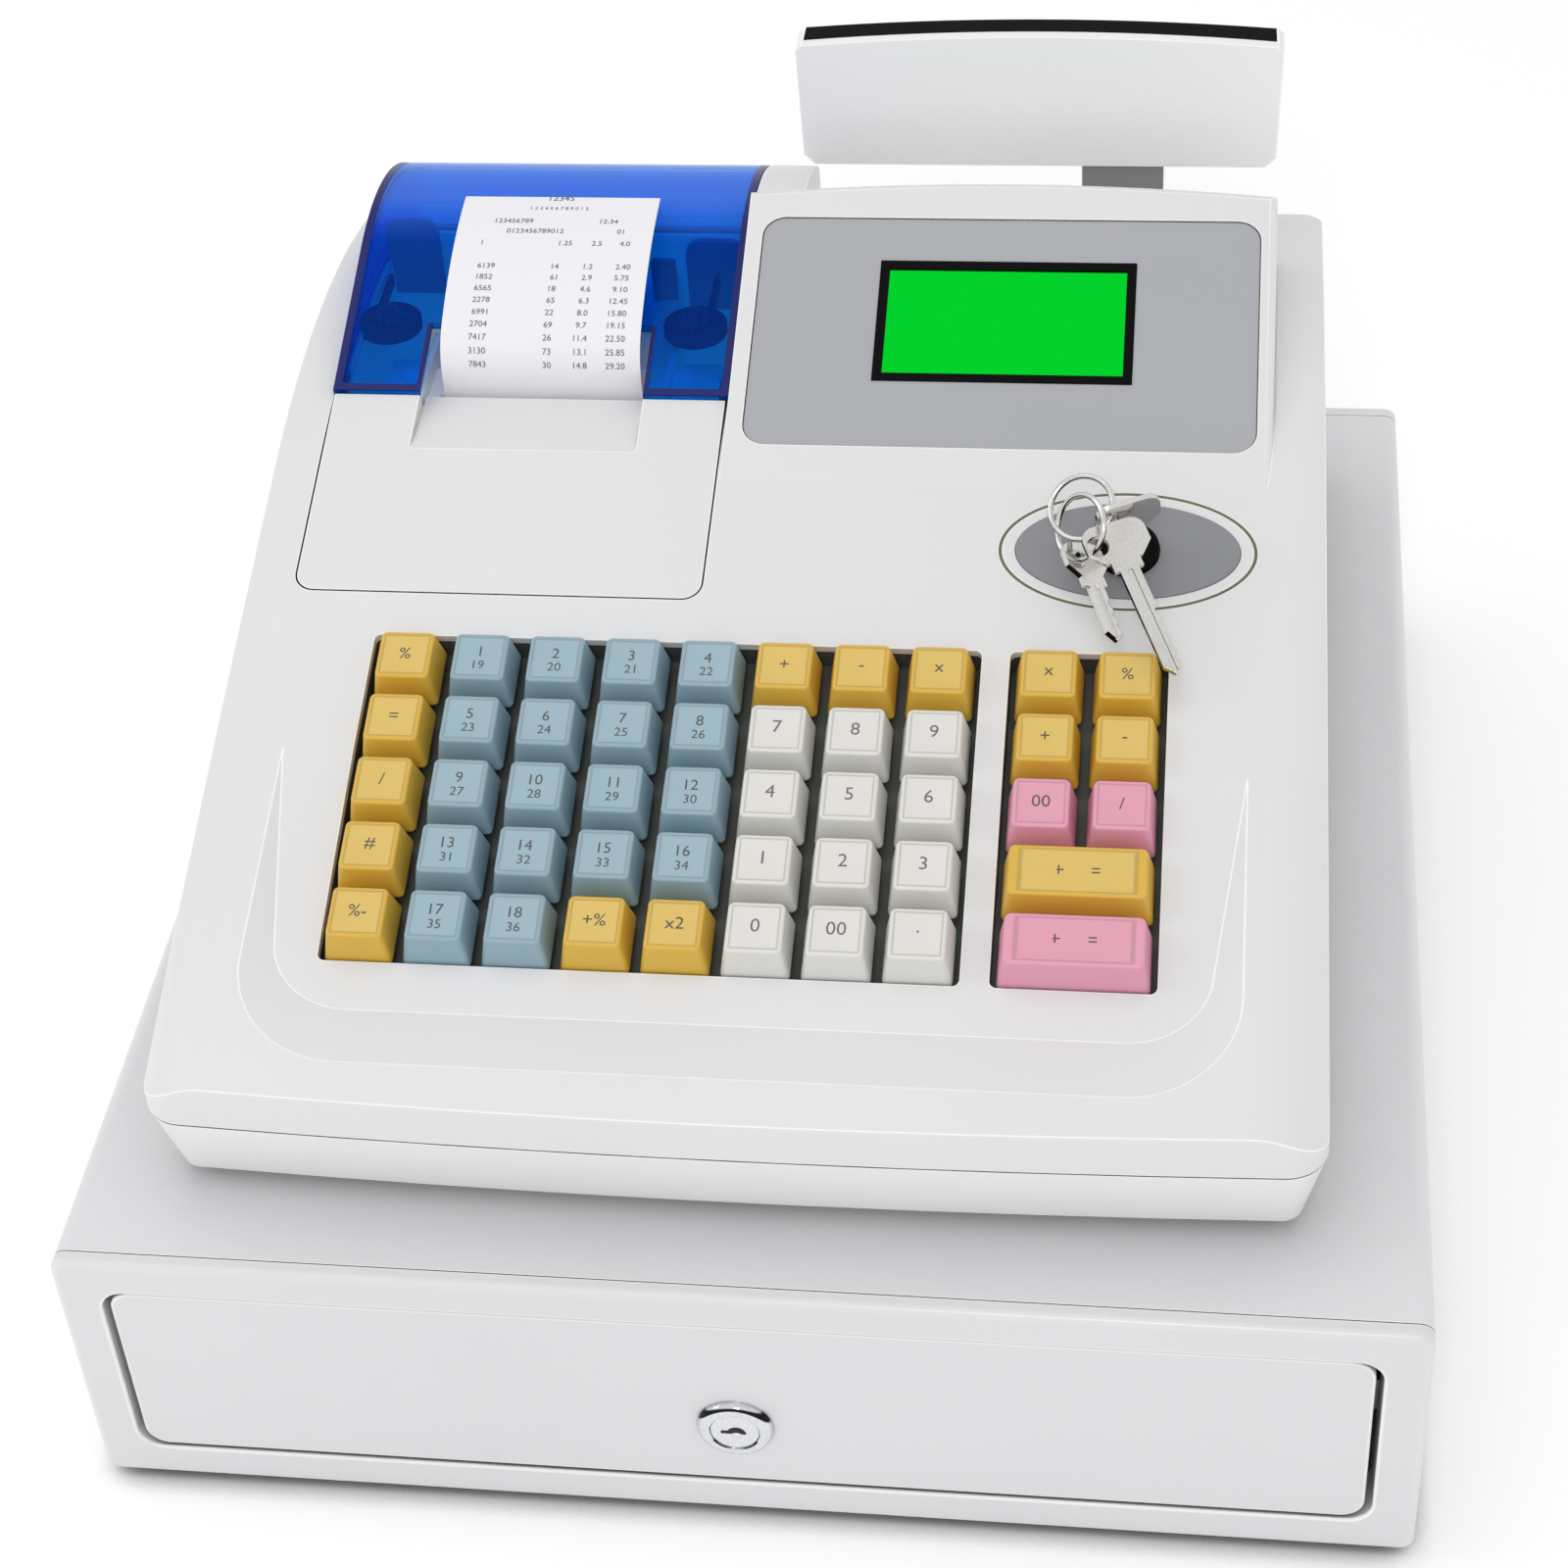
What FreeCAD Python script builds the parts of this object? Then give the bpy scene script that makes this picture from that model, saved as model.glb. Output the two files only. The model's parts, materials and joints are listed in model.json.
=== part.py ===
import FreeCAD, Part
import math
import os

# Electronic cash register on its cash drawer. Millimetres and degrees, +Z up, the front
# faces -Y. The origin is the middle of the footprint, on the surface that it stands on.

Vec = FreeCAD.Vector
ORIGIN = Vec(0, 0, 0)
X_AXIS = Vec(1, 0, 0)
Y_AXIS = Vec(0, 1, 0)
Z_AXIS = Vec(0, 0, 1)

# Shared walls and clearances
steel_sheet = 1.2
plastic_wall = 2.5
running_gap = 0.3
reveal = 0.5
pin_clearance = 0.1
over = 6.0

# Cash drawer cabinet
cabinet_width = 360.0
cabinet_depth = 402.0
cabinet_height = 88.0
cabinet_corner = 4.0
desk_gap = 3.0
foot_radius = 9.0
foot_inset_x = 32.0
foot_inset_y = 34.0
front_frame_depth = 4.5
front_frame_lip = 8.5
front_frame_edge = 2.0
back_flange = 4.0
base_upstand = 10.0
cable_hole_radius = 8.0
cable_hole_height = 30.0

# Drawer opening and its fascia
opening_side = 11.8
opening_height = 64.8
opening_bottom = 14.8
opening_corner = 7.0
fascia_side_gap = 2.0
fascia_edge_gap = 0.6
fascia_recess = 0.8
fascia_depth = 12.0
fascia_edge = 0.8

# Drawer pan, its runners and the rails that carry them
pan_side_gap = 20.0
pan_end_gap = 72.0
pan_bottom = 17.5
pan_height = 48.0
runner_reach = 6.5
runner_height = 7.4
runner_bottom = 40.3
rail_wall = 2.0
rail_setback = 6.0
rail_end_gap = 52.0

# Till tray with coin cups in front and note compartments behind
till_margin = 2.0
till_wall = 2.2
till_height = 44.0
till_floor = 2.5
coin_cups = 5
coin_cup_length = 96.0
coin_cup_depth = 34.0
coin_scoop_radius = 30.0
note_bays = 4
pocket_corner = 5.0
clip_rod_radius = 2.0
clip_rod_setback = 9.0
clip_rod_height = 39.0
clip_arm = 50.0
clip_width = 16.0
clip_hub = 4.4
clip_thickness = 2.4
clip_tip = 3.2
clip_rest_angle = 41.0

# Drawer lock
lock_height = 38.4
rosette_radius = 10.3
rosette_bore = 7.0
rosette_proud = 2.5
rosette_flat = 0.7
rosette_swell_share = 0.6
plug_inset = 0.9
keyway_width = 1.8
keyway_height = 6.5
keyway_depth = 5.0
cam_reach = 17.0
cam_width = 7.0
cam_thickness = 1.8
cam_gap = 1.2

# Drawer latch and its solenoid
latch_width = 46.0
latch_height = 34.0
latch_depth = 22.0
latch_wall = 1.6
solenoid_radius = 9.0
solenoid_length = 26.0
plunger_radius = 3.0
plunger_length = 9.0

# Register case: plan and height, in its own frame with y=0 at its front
register_offset = -2.2
register_setback = 22.6
register_gap = 4.0
register_half_width = 154.7
case_end_gap = 13.72
register_foot_radius = 8.0
register_foot_inset = 30.0
front_bow_radius = 3300.0
front_corner = 11.5
rear_corner = 8.0
parting_height = 24.0
lower_taper_side = 5.4
lower_taper_front = 7.0
side_draft = 1.0 / 28.0
parting_groove = 0.6

# Top of the register: the sloped key face, then a crown that rounds over to the back
main_slope = 16.4
ridge_setback = 1.9
ridge_height = 37.0
bend_along = 209.0
crown_radius = 240.0
crown_turn = 24.0
crown_depth = 100.0
shoulder_front = 132.5
shoulder_rear = 145.0
shoulder_radius = 23.0
shoulder_turn = 80.0

# Shallow dish around the keys
dish_margin = 21.8
dish_front = 11.6
dish_rear = 170.0
dish_corner = 30.0
dish_depth = 4.0
dish_band_side = 10.0
dish_band_front = 17.5
dish_fade = 108.0

# Keys
key_pitch_across = 21.3
key_pitch_along = 20.7
key_first_across = -101.0
key_last_row = 52.7
right_first_across = 77.9
key_base = 18.6
key_top = 15.2
key_top_shift = 1.5
key_height = 10.5
key_proud = 5.5
key_corner = 1.6
key_stem = 5.0
key_stem_length = 8.0
key_columns = 8
key_rows = 5
well_margin = 11.0
well_corner = 2.0
deck_floor = 9.8
deck_thickness = 2.4
deck_rim = 3.0

# Printer: flap, window, well and mechanism
flap_left = -138.3
flap_right = -21.2
flap_front = 161.5
flap_rear = 232.5
flap_corner = 5.5
flap_thickness = 2.4
flap_ledge = 3.5
ramp_left = -112.6
ramp_right = -45.6
ramp_start = 212.8
ramp_depth = 5.0
ramp_overhang = 4.3
window_left = -138.8
window_right = -20.3
window_wall = 2.0
window_slope = 18.4
window_front_height = 103.7
window_tangent_setback = 276.3
window_tangent_height = 120.8
window_arc_radius = 74.3
window_tail_radius = 8.6
window_hinge_height = 106.8
window_notch_depth = 24.0
window_tail_end = 60.0
window_hinge_pin = 2.5
window_lug = 3.0
window_pin_share = 0.9
ear_slot_rise = 3.0
bay_inset = 3.5
bay_rear = 326.0
well_floor = 34.0
well_rear = 322.5
paper_width = 60.0
paper_centre = -77.4
paper_thickness = 0.4
roll_radius = 23.0
roll_core = 6.3
roll_setback = 292.0
roll_height = 76.0
roll_post_width = 14.0
roll_post_thickness = 2.5
platen_radius = 6.0
platen_shaft = 2.5
platen_setback = 240.6
platen_height = 82.0
mechanism_half_width = 52.0
mechanism_front = 224.0
mechanism_rear = 262.0
mechanism_wall = 2.0
mechanism_deck = 90.0
mechanism_rise = 10.0
spool_radius = 11.0
spool_height = 4.0
spool_hub = 3.5
spool_setback = 243.0
spool_offset = 41.0
spool_teeth = 24
spool_tooth = 0.9
spool_tooth_shares = (0, 0.3, 0.6, 0.9)
receipt_start_height = 84.0
receipt_bend_height = 104.0
receipt_bend = 14.0
receipt_arc = 109.0
receipt_middle_angle = 30.0
receipt_end_angle = 3.0

# Display hood
hood_left = -20.0
hood_right = 137.2
hood_start_along = 203.0
hood_slope = 21.1
hood_rear_middle = 296.5
hood_rear_side = 292.5
hood_back_draft = 16.0
hood_front_inside = 150.0
hood_base = 70.0
hood_top = 140.0
hood_edge = 2.2
cheek_right = -5.3
panel_left = -15.1
panel_right = 132.6
panel_front = 13.0
panel_rear = 94.4
panel_corner = 7.0
panel_recess = 1.6
panel_thickness = 1.2
bezel_left = 21.2
bezel_right = 96.7
bezel_front = 35.9
bezel_rear = 78.9
bezel_bar = 2.8
bezel_drop = 2.2
glass_thickness = 1.2
glass_below = 1.0
screen_cut_depth = 50.0

# Mode lock and its keys
lock_across = 97.5
lock_along = 181.5
ring_half_across = 35.9
ring_half_along = 20.3
ring_groove = 0.8
plate_half_across = 31.3
plate_half_along = 16.3
plate_thickness = 1.0
plate_recess = 0.6
barrel_radius = 8.8
barrel_rim = 0.6
barrel_proud = 2.2
barrel_depth = 16.0
key_bow_across = 18.5
key_bow_along = 12.0
key_hole_edge = 3.5
key_bow_hole = 3.1
key_shoulder = 3.0
key_sheet = 1.6
key_blade_width = 5.6
key_blade_length = 33.0
key_cut_pitch = 3.6
key_cut_depth = 1.5
key_groove = 0.7
small_bow_across = 15.0
small_bow_along = 11.0
small_blade_length = 17.5
mode_key_turn = 22.0
mode_key_hole_rise = 17.0
bunch_ring_radius = 9.0
bunch_ring_wire = 0.8
front_coil_across = 84.8
front_coil_along = 176.6
front_coil_rise = 17.3
front_coil_lean_shares = (-0.685, -0.394, 0.613)
back_coil_across = 84.8
back_coil_along = 183.7
back_coil_rise = 16.9
back_coil_lean_shares = (-0.28, -0.358, 0.891)
front_key_across = 89.8
front_key_along = 169.2
front_key_rise = 18.1
front_key_angles = (25.0, 11.5, 6.0)
small_key_across = 83.35
small_key_along = 169.7
small_key_rise = 11.4
small_key_angles = (22.7, 10.0, 38.0)
key_cuts = 5
small_key_cuts = 3

# Customer display
post_width = 24.9
post_depth = 9.0
post_across = 90.3
post_setback = 335.0
post_socket = 26.0
case_left = -8.9
case_right = 137.8
case_taper = 0.9
case_setback = 327.4
case_bottom = 121.0
case_height = 41.0
case_arch = 3.2
case_back_depth = 3.4
case_depth_top = 11.0
case_depth_bottom = 18.4
case_corner = 3.4
case_rim = 2.2
collar_radius = 9.0
collar_height = 5.0
collar_gap = 0.4

# Back of the register
switch_across = -120.0
switch_width = 21.0
switch_height = 15.0
switch_level = 46.0
switch_hub = 6.2
switch_low_share = 0.6
switch_high_share = 1.2
socket_level = 46.0
inlet_across = -82.0
inlet_width = 27.0
inlet_height = 20.0
inlet_depth = 12.0
port_width = 13.0
port_height = 12.0
port_first_across = -48.0
port_pitch = 20.0
port_count = 2
socket_block_depth = 16.0
socket_wall = 1.6


def tan(angle):
    return math.tan(math.radians(angle))


def sin(angle):
    return math.sin(math.radians(angle))


def cos(angle):
    return math.cos(math.radians(angle))


# Values that follow from the sizes above
front_y = -cabinet_depth / 2
back_y = cabinet_depth / 2
cabinet_top = desk_gap + cabinet_height
inner_half_width = cabinet_width / 2 - steel_sheet
opening_width = cabinet_width - 2 * opening_side
rail_length = cabinet_depth - rail_end_gap
fascia_front = front_y + fascia_recess
fascia_back = fascia_front + fascia_depth
pan_front = fascia_back
pan_back = pan_front + cabinet_depth - pan_end_gap
pan_half = cabinet_width / 2 - pan_side_gap
till_bottom = pan_bottom + steel_sheet
till_half = pan_half - steel_sheet - running_gap
till_front = pan_front + till_margin
till_back = pan_back - till_margin
till_top = till_bottom + till_height
coin_back = till_front + till_wall + coin_cup_length
clip_pivot_y = till_back - till_wall - clip_rod_setback
clip_pivot_z = till_bottom + clip_rod_height
note_bay_width = (2 * till_half - (note_bays + 1) * till_wall) / note_bays
coin_cup_width = (2 * till_half - (coin_cups + 1) * till_wall) / coin_cups
register_bottom = cabinet_top + register_gap
bend_height = ridge_height + bend_along * sin(main_slope)
crown_centre_z = bend_height - crown_radius * cos(main_slope)
hood_start_y = ridge_setback + hood_start_along * cos(main_slope)
hood_start_z = ridge_height + hood_start_along * sin(main_slope)
flap_rear_y = ridge_setback + flap_rear * cos(main_slope)
arc_centre_y = window_tangent_setback + window_arc_radius * sin(window_slope)
arc_centre_z = window_tangent_height - window_arc_radius * cos(window_slope)
tail_reach = window_arc_radius - window_tail_radius
tail_angle = math.degrees(math.acos((window_hinge_height - arc_centre_z) / tail_reach))
hinge_y = arc_centre_y + tail_reach * sin(tail_angle)
register_depth = hinge_y + case_end_gap
well_left = key_first_across - well_margin
well_right = key_first_across + (key_columns - 1) * key_pitch_across + well_margin
well_front_along = key_last_row - well_margin + key_top_shift
well_rear_along = key_last_row + (key_rows - 1) * key_pitch_along + well_margin
right_well_left = right_first_across - well_margin
right_well_right = right_first_across + key_pitch_across + well_margin
dish_half_width = right_well_right + dish_margin
cap_bottom = key_proud - key_height


def closed_wire(points):
    """A closed wire through corners; a (middle, end) pair draws an arc to its end."""
    edges = []
    here = points[0]
    for item in points[1:] + [points[0]]:
        if isinstance(item, tuple):
            edges.append(Part.Arc(here, item[0], item[1]).toShape())
            here = item[1]
        elif here.distanceToPoint(item) > Part.Precision.confusion():
            edges.append(Part.makeLine(here, item))
            here = item
    return Part.Wire(edges)


def box(x0, x1, y0, y1, z0, z1):
    return Part.makeBox(x1 - x0, y1 - y0, z1 - z0, Vec(x0, y0, z0))


def cylinder(radius, start, direction, length):
    return Part.makeCylinder(radius, length, start, direction)


def joined(shapes):
    shapes = list(shapes)
    return shapes[0].multiFuse(shapes[1:]).removeSplitter() if len(shapes) > 1 else shapes[0]


def without(shape, cutters):
    return shape.cut(list(cutters)).removeSplitter()


def rounded_rectangle(x0, x1, y0, y1, radius, z=0.0):
    """A rectangle in a level plane with its corners rounded."""
    bend = radius * (1 - math.sqrt(0.5))
    return closed_wire([
        Vec(x0 + radius, y0, z), Vec(x1 - radius, y0, z),
        (Vec(x1 - bend, y0 + bend, z), Vec(x1, y0 + radius, z)), Vec(x1, y1 - radius, z),
        (Vec(x1 - bend, y1 - bend, z), Vec(x1 - radius, y1, z)), Vec(x0 + radius, y1, z),
        (Vec(x0 + bend, y1 - bend, z), Vec(x0, y1 - radius, z)), Vec(x0, y0 + radius, z),
        (Vec(x0 + bend, y0 + bend, z), Vec(x0 + radius, y0, z))])


def rounded_block(x0, x1, y0, y1, z0, z1, radius):
    outline = Part.Face(rounded_rectangle(x0, x1, y0, y1, radius, z0))
    return outline.extrude(Vec(0, 0, z1 - z0))


def upright_block(x0, x1, z0, z1, y0, y1, radius):
    """A block whose corners are rounded as seen from the front."""
    block = rounded_block(x0, x1, z0, z1, -y1, -y0, radius)
    block.rotate(ORIGIN, X_AXIS, 90)
    return block


def side_prism(points, x0, x1):
    """An outline given as (y, z) corners, carried from x0 to x1."""
    def raised(item):
        if isinstance(item[0], tuple):
            return (Vec(x0, *item[0]), Vec(x0, *item[1]))
        return Vec(x0, *item)
    return Part.Face(closed_wire([raised(item) for item in points])).extrude(Vec(x1 - x0, 0, 0))


def moved(shape, x=0.0, y=0.0, z=0.0):
    shape = shape.copy()
    shape.translate(Vec(x, y, z))
    return shape


def rounded_edges(shape, radius, chosen):
    """Rounds the edges that a test of their middle point picks out."""
    edges = [edge for edge in shape.Edges if chosen(edge, edge.CenterOfMass)]
    return shape.makeFillet(radius, edges)


def runs_along(edge, axis):
    tangent = edge.tangentAt(edge.FirstParameter)
    return abs(tangent.dot(axis)) > 1 - Part.Precision.confusion()


# Placing: each register piece is drawn in the register's frame, or on one of its faces

def on_register(shape):
    return moved(shape, register_offset, front_y + register_setback, register_bottom)


def on_slope(shape, angle, y, z):
    placed = shape.copy()
    placed.rotate(ORIGIN, X_AXIS, angle)
    return moved(placed, 0, y, z)


def on_key_face(shape):
    return on_slope(shape, main_slope, ridge_setback, ridge_height)


def on_hood_face(shape):
    return on_slope(shape, hood_slope, hood_start_y, hood_start_z)


# Cash drawer cabinet

def cabinet_outline(inset):
    half = cabinet_width / 2 - inset
    return (-half, half, desk_gap + inset, cabinet_top - inset)


def make_cabinet_cover():
    """Folded steel: the top and both sides in one sheet, open below."""
    start = front_y + front_frame_depth + running_gap
    end = back_y - back_flange - running_gap
    outside = upright_block(*cabinet_outline(0), start, end, cabinet_corner)
    inside = upright_block(*cabinet_outline(steel_sheet), start - over, end + over,
                           cabinet_corner - steel_sheet)
    half = inner_half_width
    mouth = box(-half, half, start - over, end + over, desk_gap - over, desk_gap + cabinet_corner)
    return without(outside, [inside, mouth])


def make_cabinet_base():
    """Bottom plate with side upstands, and the flanged back panel with its cable hole."""
    half = inner_half_width
    start = front_y + front_frame_depth + front_frame_lip
    cup_front = back_y - back_flange
    plate_front = front_y + front_frame_depth + running_gap
    floor = box(-half, half, plate_front, back_y - steel_sheet, desk_gap, desk_gap + steel_sheet)
    sides = [box(side * half - (side > 0) * steel_sheet, side * half + (side < 0) * steel_sheet,
                 start, cup_front - running_gap, desk_gap, desk_gap + base_upstand)
             for side in (-1, 1)]
    cup = upright_block(*cabinet_outline(0), cup_front, back_y, cabinet_corner)
    hollow = upright_block(*cabinet_outline(steel_sheet), cup_front - over, back_y - steel_sheet,
                           cabinet_corner - steel_sheet)
    back = without(cup, [hollow])
    hole = cylinder(cable_hole_radius, Vec(0, back_y - over, desk_gap + cable_hole_height),
                    Y_AXIS, 2 * over)
    return without(joined([floor, back] + sides), [hole])


def opening_block(grow, y0, y1, radius):
    half = opening_width / 2 + grow
    return upright_block(-half, half, opening_bottom - grow, opening_bottom + opening_height + grow,
                         y0, y1, radius + grow)


def make_front_frame():
    """Moulded front ring with a lip that runs back around the drawer opening."""
    plate_back = front_y + front_frame_depth
    plate = upright_block(*cabinet_outline(0), front_y, plate_back, cabinet_corner)
    plate = rounded_edges(plate, front_frame_edge, lambda edge, middle: middle.y < front_y + reveal)
    lip = opening_block(plastic_wall, plate_back - reveal, plate_back + front_frame_lip, opening_corner)
    opening = opening_block(0, front_y - over, back_y, opening_corner)
    frame = without(joined([plate, lip]), [opening])
    def at_mouth(edge, middle):
        inside = abs(middle.x) < opening_width / 2 + reveal
        level = abs(middle.z - opening_bottom - opening_height / 2) < opening_height / 2 + reveal
        return middle.y < front_y + reveal and inside and level
    return rounded_edges(frame, fascia_edge, at_mouth)


def make_drawer_rails():
    """A channel on each side wall, open towards the drawer."""
    start = front_y + front_frame_depth + front_frame_lip + rail_setback
    slot_bottom = runner_bottom - running_gap
    slot_top = runner_bottom + runner_height + running_gap
    slot_end = pan_half + runner_reach + running_gap
    rails = []
    for side in (-1, 1):
        near = pan_half + running_gap
        rail = box(near, inner_half_width, start, start + rail_length,
                   slot_bottom - rail_wall, slot_top + rail_wall)
        slot = box(near - over, slot_end, start - over, start + rail_length + over,
                   slot_bottom, slot_top)
        web = box(slot_end + rail_wall, inner_half_width - rail_wall, start - over,
                  start + rail_length + over, slot_bottom, slot_top)
        rail = without(rail, [slot, web])
        rails.append(rail if side > 0 else rail.mirror(ORIGIN, X_AXIS))
    return Part.makeCompound(rails)


def make_rubber_feet():
    """Four discs under the cabinet and four under the register."""
    feet = []
    for side in (-1, 1):
        for end in (-1, 1):
            spot = Vec(side * (cabinet_width / 2 - foot_inset_x),
                       end * (cabinet_depth / 2 - foot_inset_y), 0)
            feet.append(cylinder(foot_radius, spot, Z_AXIS, desk_gap))
            centre = register_depth / 2
            spot = Vec(side * (register_half_width - lower_taper_side - register_foot_inset),
                       centre + end * (centre - lower_taper_front - register_foot_inset), -register_gap)
            feet.append(on_register(cylinder(register_foot_radius, spot, Z_AXIS, register_gap)))
    return Part.makeCompound(feet)


def make_drawer_latch():
    """Bracket with a hook slot, and the solenoid that pulls the hook, behind the drawer."""
    base = desk_gap + steel_sheet
    start = pan_back + running_gap
    half = latch_width / 2
    plate = box(-half, half, start, start + latch_depth, base, base + latch_wall)
    web = box(-half, half, start + latch_depth - latch_wall, start + latch_depth,
              base, base + latch_height)
    cheeks = [box(side * half - (side > 0) * latch_wall, side * half + (side < 0) * latch_wall,
                  start, start + latch_depth, base, base + latch_height) for side in (-1, 1)]
    lying = base + latch_wall + solenoid_radius
    middle = start + (latch_depth - latch_wall) / 2
    coil = cylinder(solenoid_radius, Vec(-solenoid_length / 2, middle, lying), X_AXIS, solenoid_length)
    plunger = cylinder(plunger_radius, Vec(solenoid_length / 2, middle, lying), X_AXIS, plunger_length)
    return joined([plate, web, coil, plunger] + cheeks)


# Drawer

def make_drawer_pan():
    """Steel tray whose side runners ride in the rails."""
    outside = box(-pan_half, pan_half, pan_front, pan_back, pan_bottom, pan_bottom + pan_height)
    inside = box(-pan_half + steel_sheet, pan_half - steel_sheet, pan_front + steel_sheet,
                 pan_back - steel_sheet, pan_bottom + steel_sheet, pan_bottom + pan_height + over)
    start = front_y + front_frame_depth + front_frame_lip + rail_setback
    runners = [box(side * pan_half - (side < 0) * runner_reach, side * pan_half + (side > 0) * runner_reach,
                   start, pan_back, runner_bottom, runner_bottom + runner_height)
               for side in (-1, 1)]
    return joined([without(outside, [inside])] + runners)


def make_drawer_front():
    """Moulded fascia, hollow behind, bored for the lock."""
    half = opening_width / 2 - fascia_side_gap
    low = opening_bottom + fascia_edge_gap
    high = opening_bottom + opening_height - fascia_edge_gap
    corner = opening_corner - fascia_edge_gap
    fascia = upright_block(-half, half, low, high, fascia_front, fascia_back, corner)
    fascia = rounded_edges(fascia, fascia_edge, lambda edge, middle: middle.y < fascia_front + reveal)
    pocket = upright_block(-half + plastic_wall, half - plastic_wall, low + plastic_wall,
                           high - plastic_wall, fascia_front + plastic_wall, fascia_back + over,
                           corner - plastic_wall)
    bore = cylinder(rosette_bore, Vec(0, fascia_front - over, lock_height), Y_AXIS, 2 * over)
    return without(fascia, [pocket, bore])


def scoop_pocket(x0, x1, y0, y1):
    """A coin cup whose floor rises to the front and back in large arcs."""
    floor = till_top - coin_cup_depth
    low = floor + coin_scoop_radius
    bend = coin_scoop_radius * (1 - math.sqrt(0.5))
    front = (y0 + bend, floor + bend)
    back = (y1 - bend, floor + bend)
    return side_prism([(y0, till_top + over), (y0, low), (front, (y0 + coin_scoop_radius, floor)),
                       (y1 - coin_scoop_radius, floor), (back, (y1, low)), (y1, till_top + over)], x0, x1)


def make_till_insert():
    """Removable tray: scooped coin cups in front, note bays and the clip rod behind."""
    tray = rounded_block(-till_half, till_half, till_front, till_back, till_bottom, till_top, till_wall)
    cutters = []
    for cup in range(coin_cups):
        x0 = -till_half + till_wall + cup * (coin_cup_width + till_wall)
        cutters.append(scoop_pocket(x0, x0 + coin_cup_width, till_front + till_wall, coin_back))
    for bay in range(note_bays):
        x0 = -till_half + till_wall + bay * (note_bay_width + till_wall)
        bay_front = coin_back + till_wall
        cutters.append(rounded_block(x0, x0 + note_bay_width, bay_front, till_back - till_wall,
                                     till_bottom + till_floor, till_top + over, pocket_corner))
    rod = cylinder(clip_rod_radius, Vec(-till_half + till_wall / 2, clip_pivot_y, clip_pivot_z), X_AXIS,
                   2 * till_half - till_wall)
    return joined([without(tray, cutters), rod])


def make_bill_clip(bay):
    """A note clip: hub on the rod, arm sloping down forwards, rolled tip on the notes."""
    centre = -till_half + till_wall + note_bay_width / 2 + bay * (note_bay_width + till_wall)
    start = Vec(centre - clip_width / 2, 0, 0)
    hub = cylinder(clip_hub, start, X_AXIS, clip_width)
    tip = cylinder(clip_tip, start.add(Vec(0, -clip_arm, 0)), X_AXIS, clip_width)
    arm = box(start.x, start.x + clip_width, -clip_arm, 0, -clip_thickness / 2, clip_thickness / 2)
    clip = joined([hub, tip, arm])
    bore = cylinder(clip_rod_radius + pin_clearance, start.sub(Vec(over, 0, 0)), X_AXIS, clip_width + 2 * over)
    clip = without(clip, [bore])
    clip.rotate(ORIGIN, X_AXIS, clip_rest_angle)
    return moved(clip, 0, clip_pivot_y, clip_pivot_z)


def make_drawer_lock_rosette():
    """Domed chrome ring around the lock."""
    inner = rosette_bore - running_gap
    base = fascia_front
    nose = base - rosette_proud
    ring = rosette_radius - inner
    swell = base - rosette_flat - (rosette_proud - rosette_flat) * rosette_swell_share
    profile = closed_wire([
        Vec(inner, base, 0), Vec(rosette_radius, base, 0), Vec(rosette_radius, base - rosette_flat, 0),
        (Vec(inner + ring * sin(60), swell, 0), Vec(inner + ring / 2, nose, 0)),
        Vec(inner + running_gap, nose, 0), Vec(inner, nose + running_gap, 0)])
    solid = Part.Face(profile).revolve(ORIGIN, Y_AXIS, 360)
    return moved(solid, 0, 0, lock_height)


def make_drawer_lock_cylinder():
    """Plug with its keyway in front and the cam on its tail."""
    radius = rosette_bore - 2 * running_gap
    nose = fascia_front - plug_inset
    plug = cylinder(radius, Vec(0, nose, 0), Y_AXIS, fascia_depth - cam_gap - cam_thickness + plug_inset)
    keyway = box(-keyway_height / 2, keyway_height / 2, nose - over, nose + keyway_depth,
                 -keyway_width / 2, keyway_width / 2)
    cam_back = fascia_back - cam_gap
    cam = upright_block(-cam_reach, cam_width / 2, -cam_width / 2, cam_width / 2,
                        cam_back - cam_thickness, cam_back, cam_width / 2 - running_gap)
    return moved(joined([without(plug, [keyway]), cam]), 0, 0, lock_height)


# Register case

def plan_outline(inset, z, inset_front=0.0):
    """Plan of the case at a height: bowed front, rounded corners."""
    half = register_half_width - inset
    front = inset + inset_front
    rear = register_depth - inset
    corner = front_corner - min(inset, front_corner / 2)
    centre = Vec(0, front + front_bow_radius, z)
    side = half - corner
    up = centre.y - math.sqrt((front_bow_radius - corner) ** 2 - side ** 2)
    turn = Vec(side, up, z)
    out = turn.sub(centre).normalize()
    touch = centre.add(Vec(out).multiply(front_bow_radius))
    between = Vec(out).add(X_AXIS).normalize()
    mid = turn.add(Vec(between).multiply(corner))
    flip = lambda p: Vec(-p.x, p.y, p.z)
    round_back = rear_corner - min(inset, rear_corner / 2)
    bend = round_back * (1 - math.sqrt(0.5))
    right_back = (Vec(half - bend, rear - bend, z), Vec(half - round_back, rear, z))
    left_back = (flip(right_back[0]), Vec(-half, rear - round_back, z))
    return closed_wire([
        flip(touch), (Vec(0, front, z), touch), (mid, Vec(half, up, z)), Vec(half, rear - round_back, z),
        right_back, flip(right_back[1]), left_back, Vec(-half, up, z), (flip(mid), flip(touch))])


def plan_prism(inset, z0, z1):
    """The plan carried up, leaning in a little all round."""
    low = plan_outline(inset + side_draft * (z0 - parting_height), z0)
    high = plan_outline(inset + side_draft * (z1 - parting_height), z1)
    return Part.makeLoft([low, high], True, True)


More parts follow.
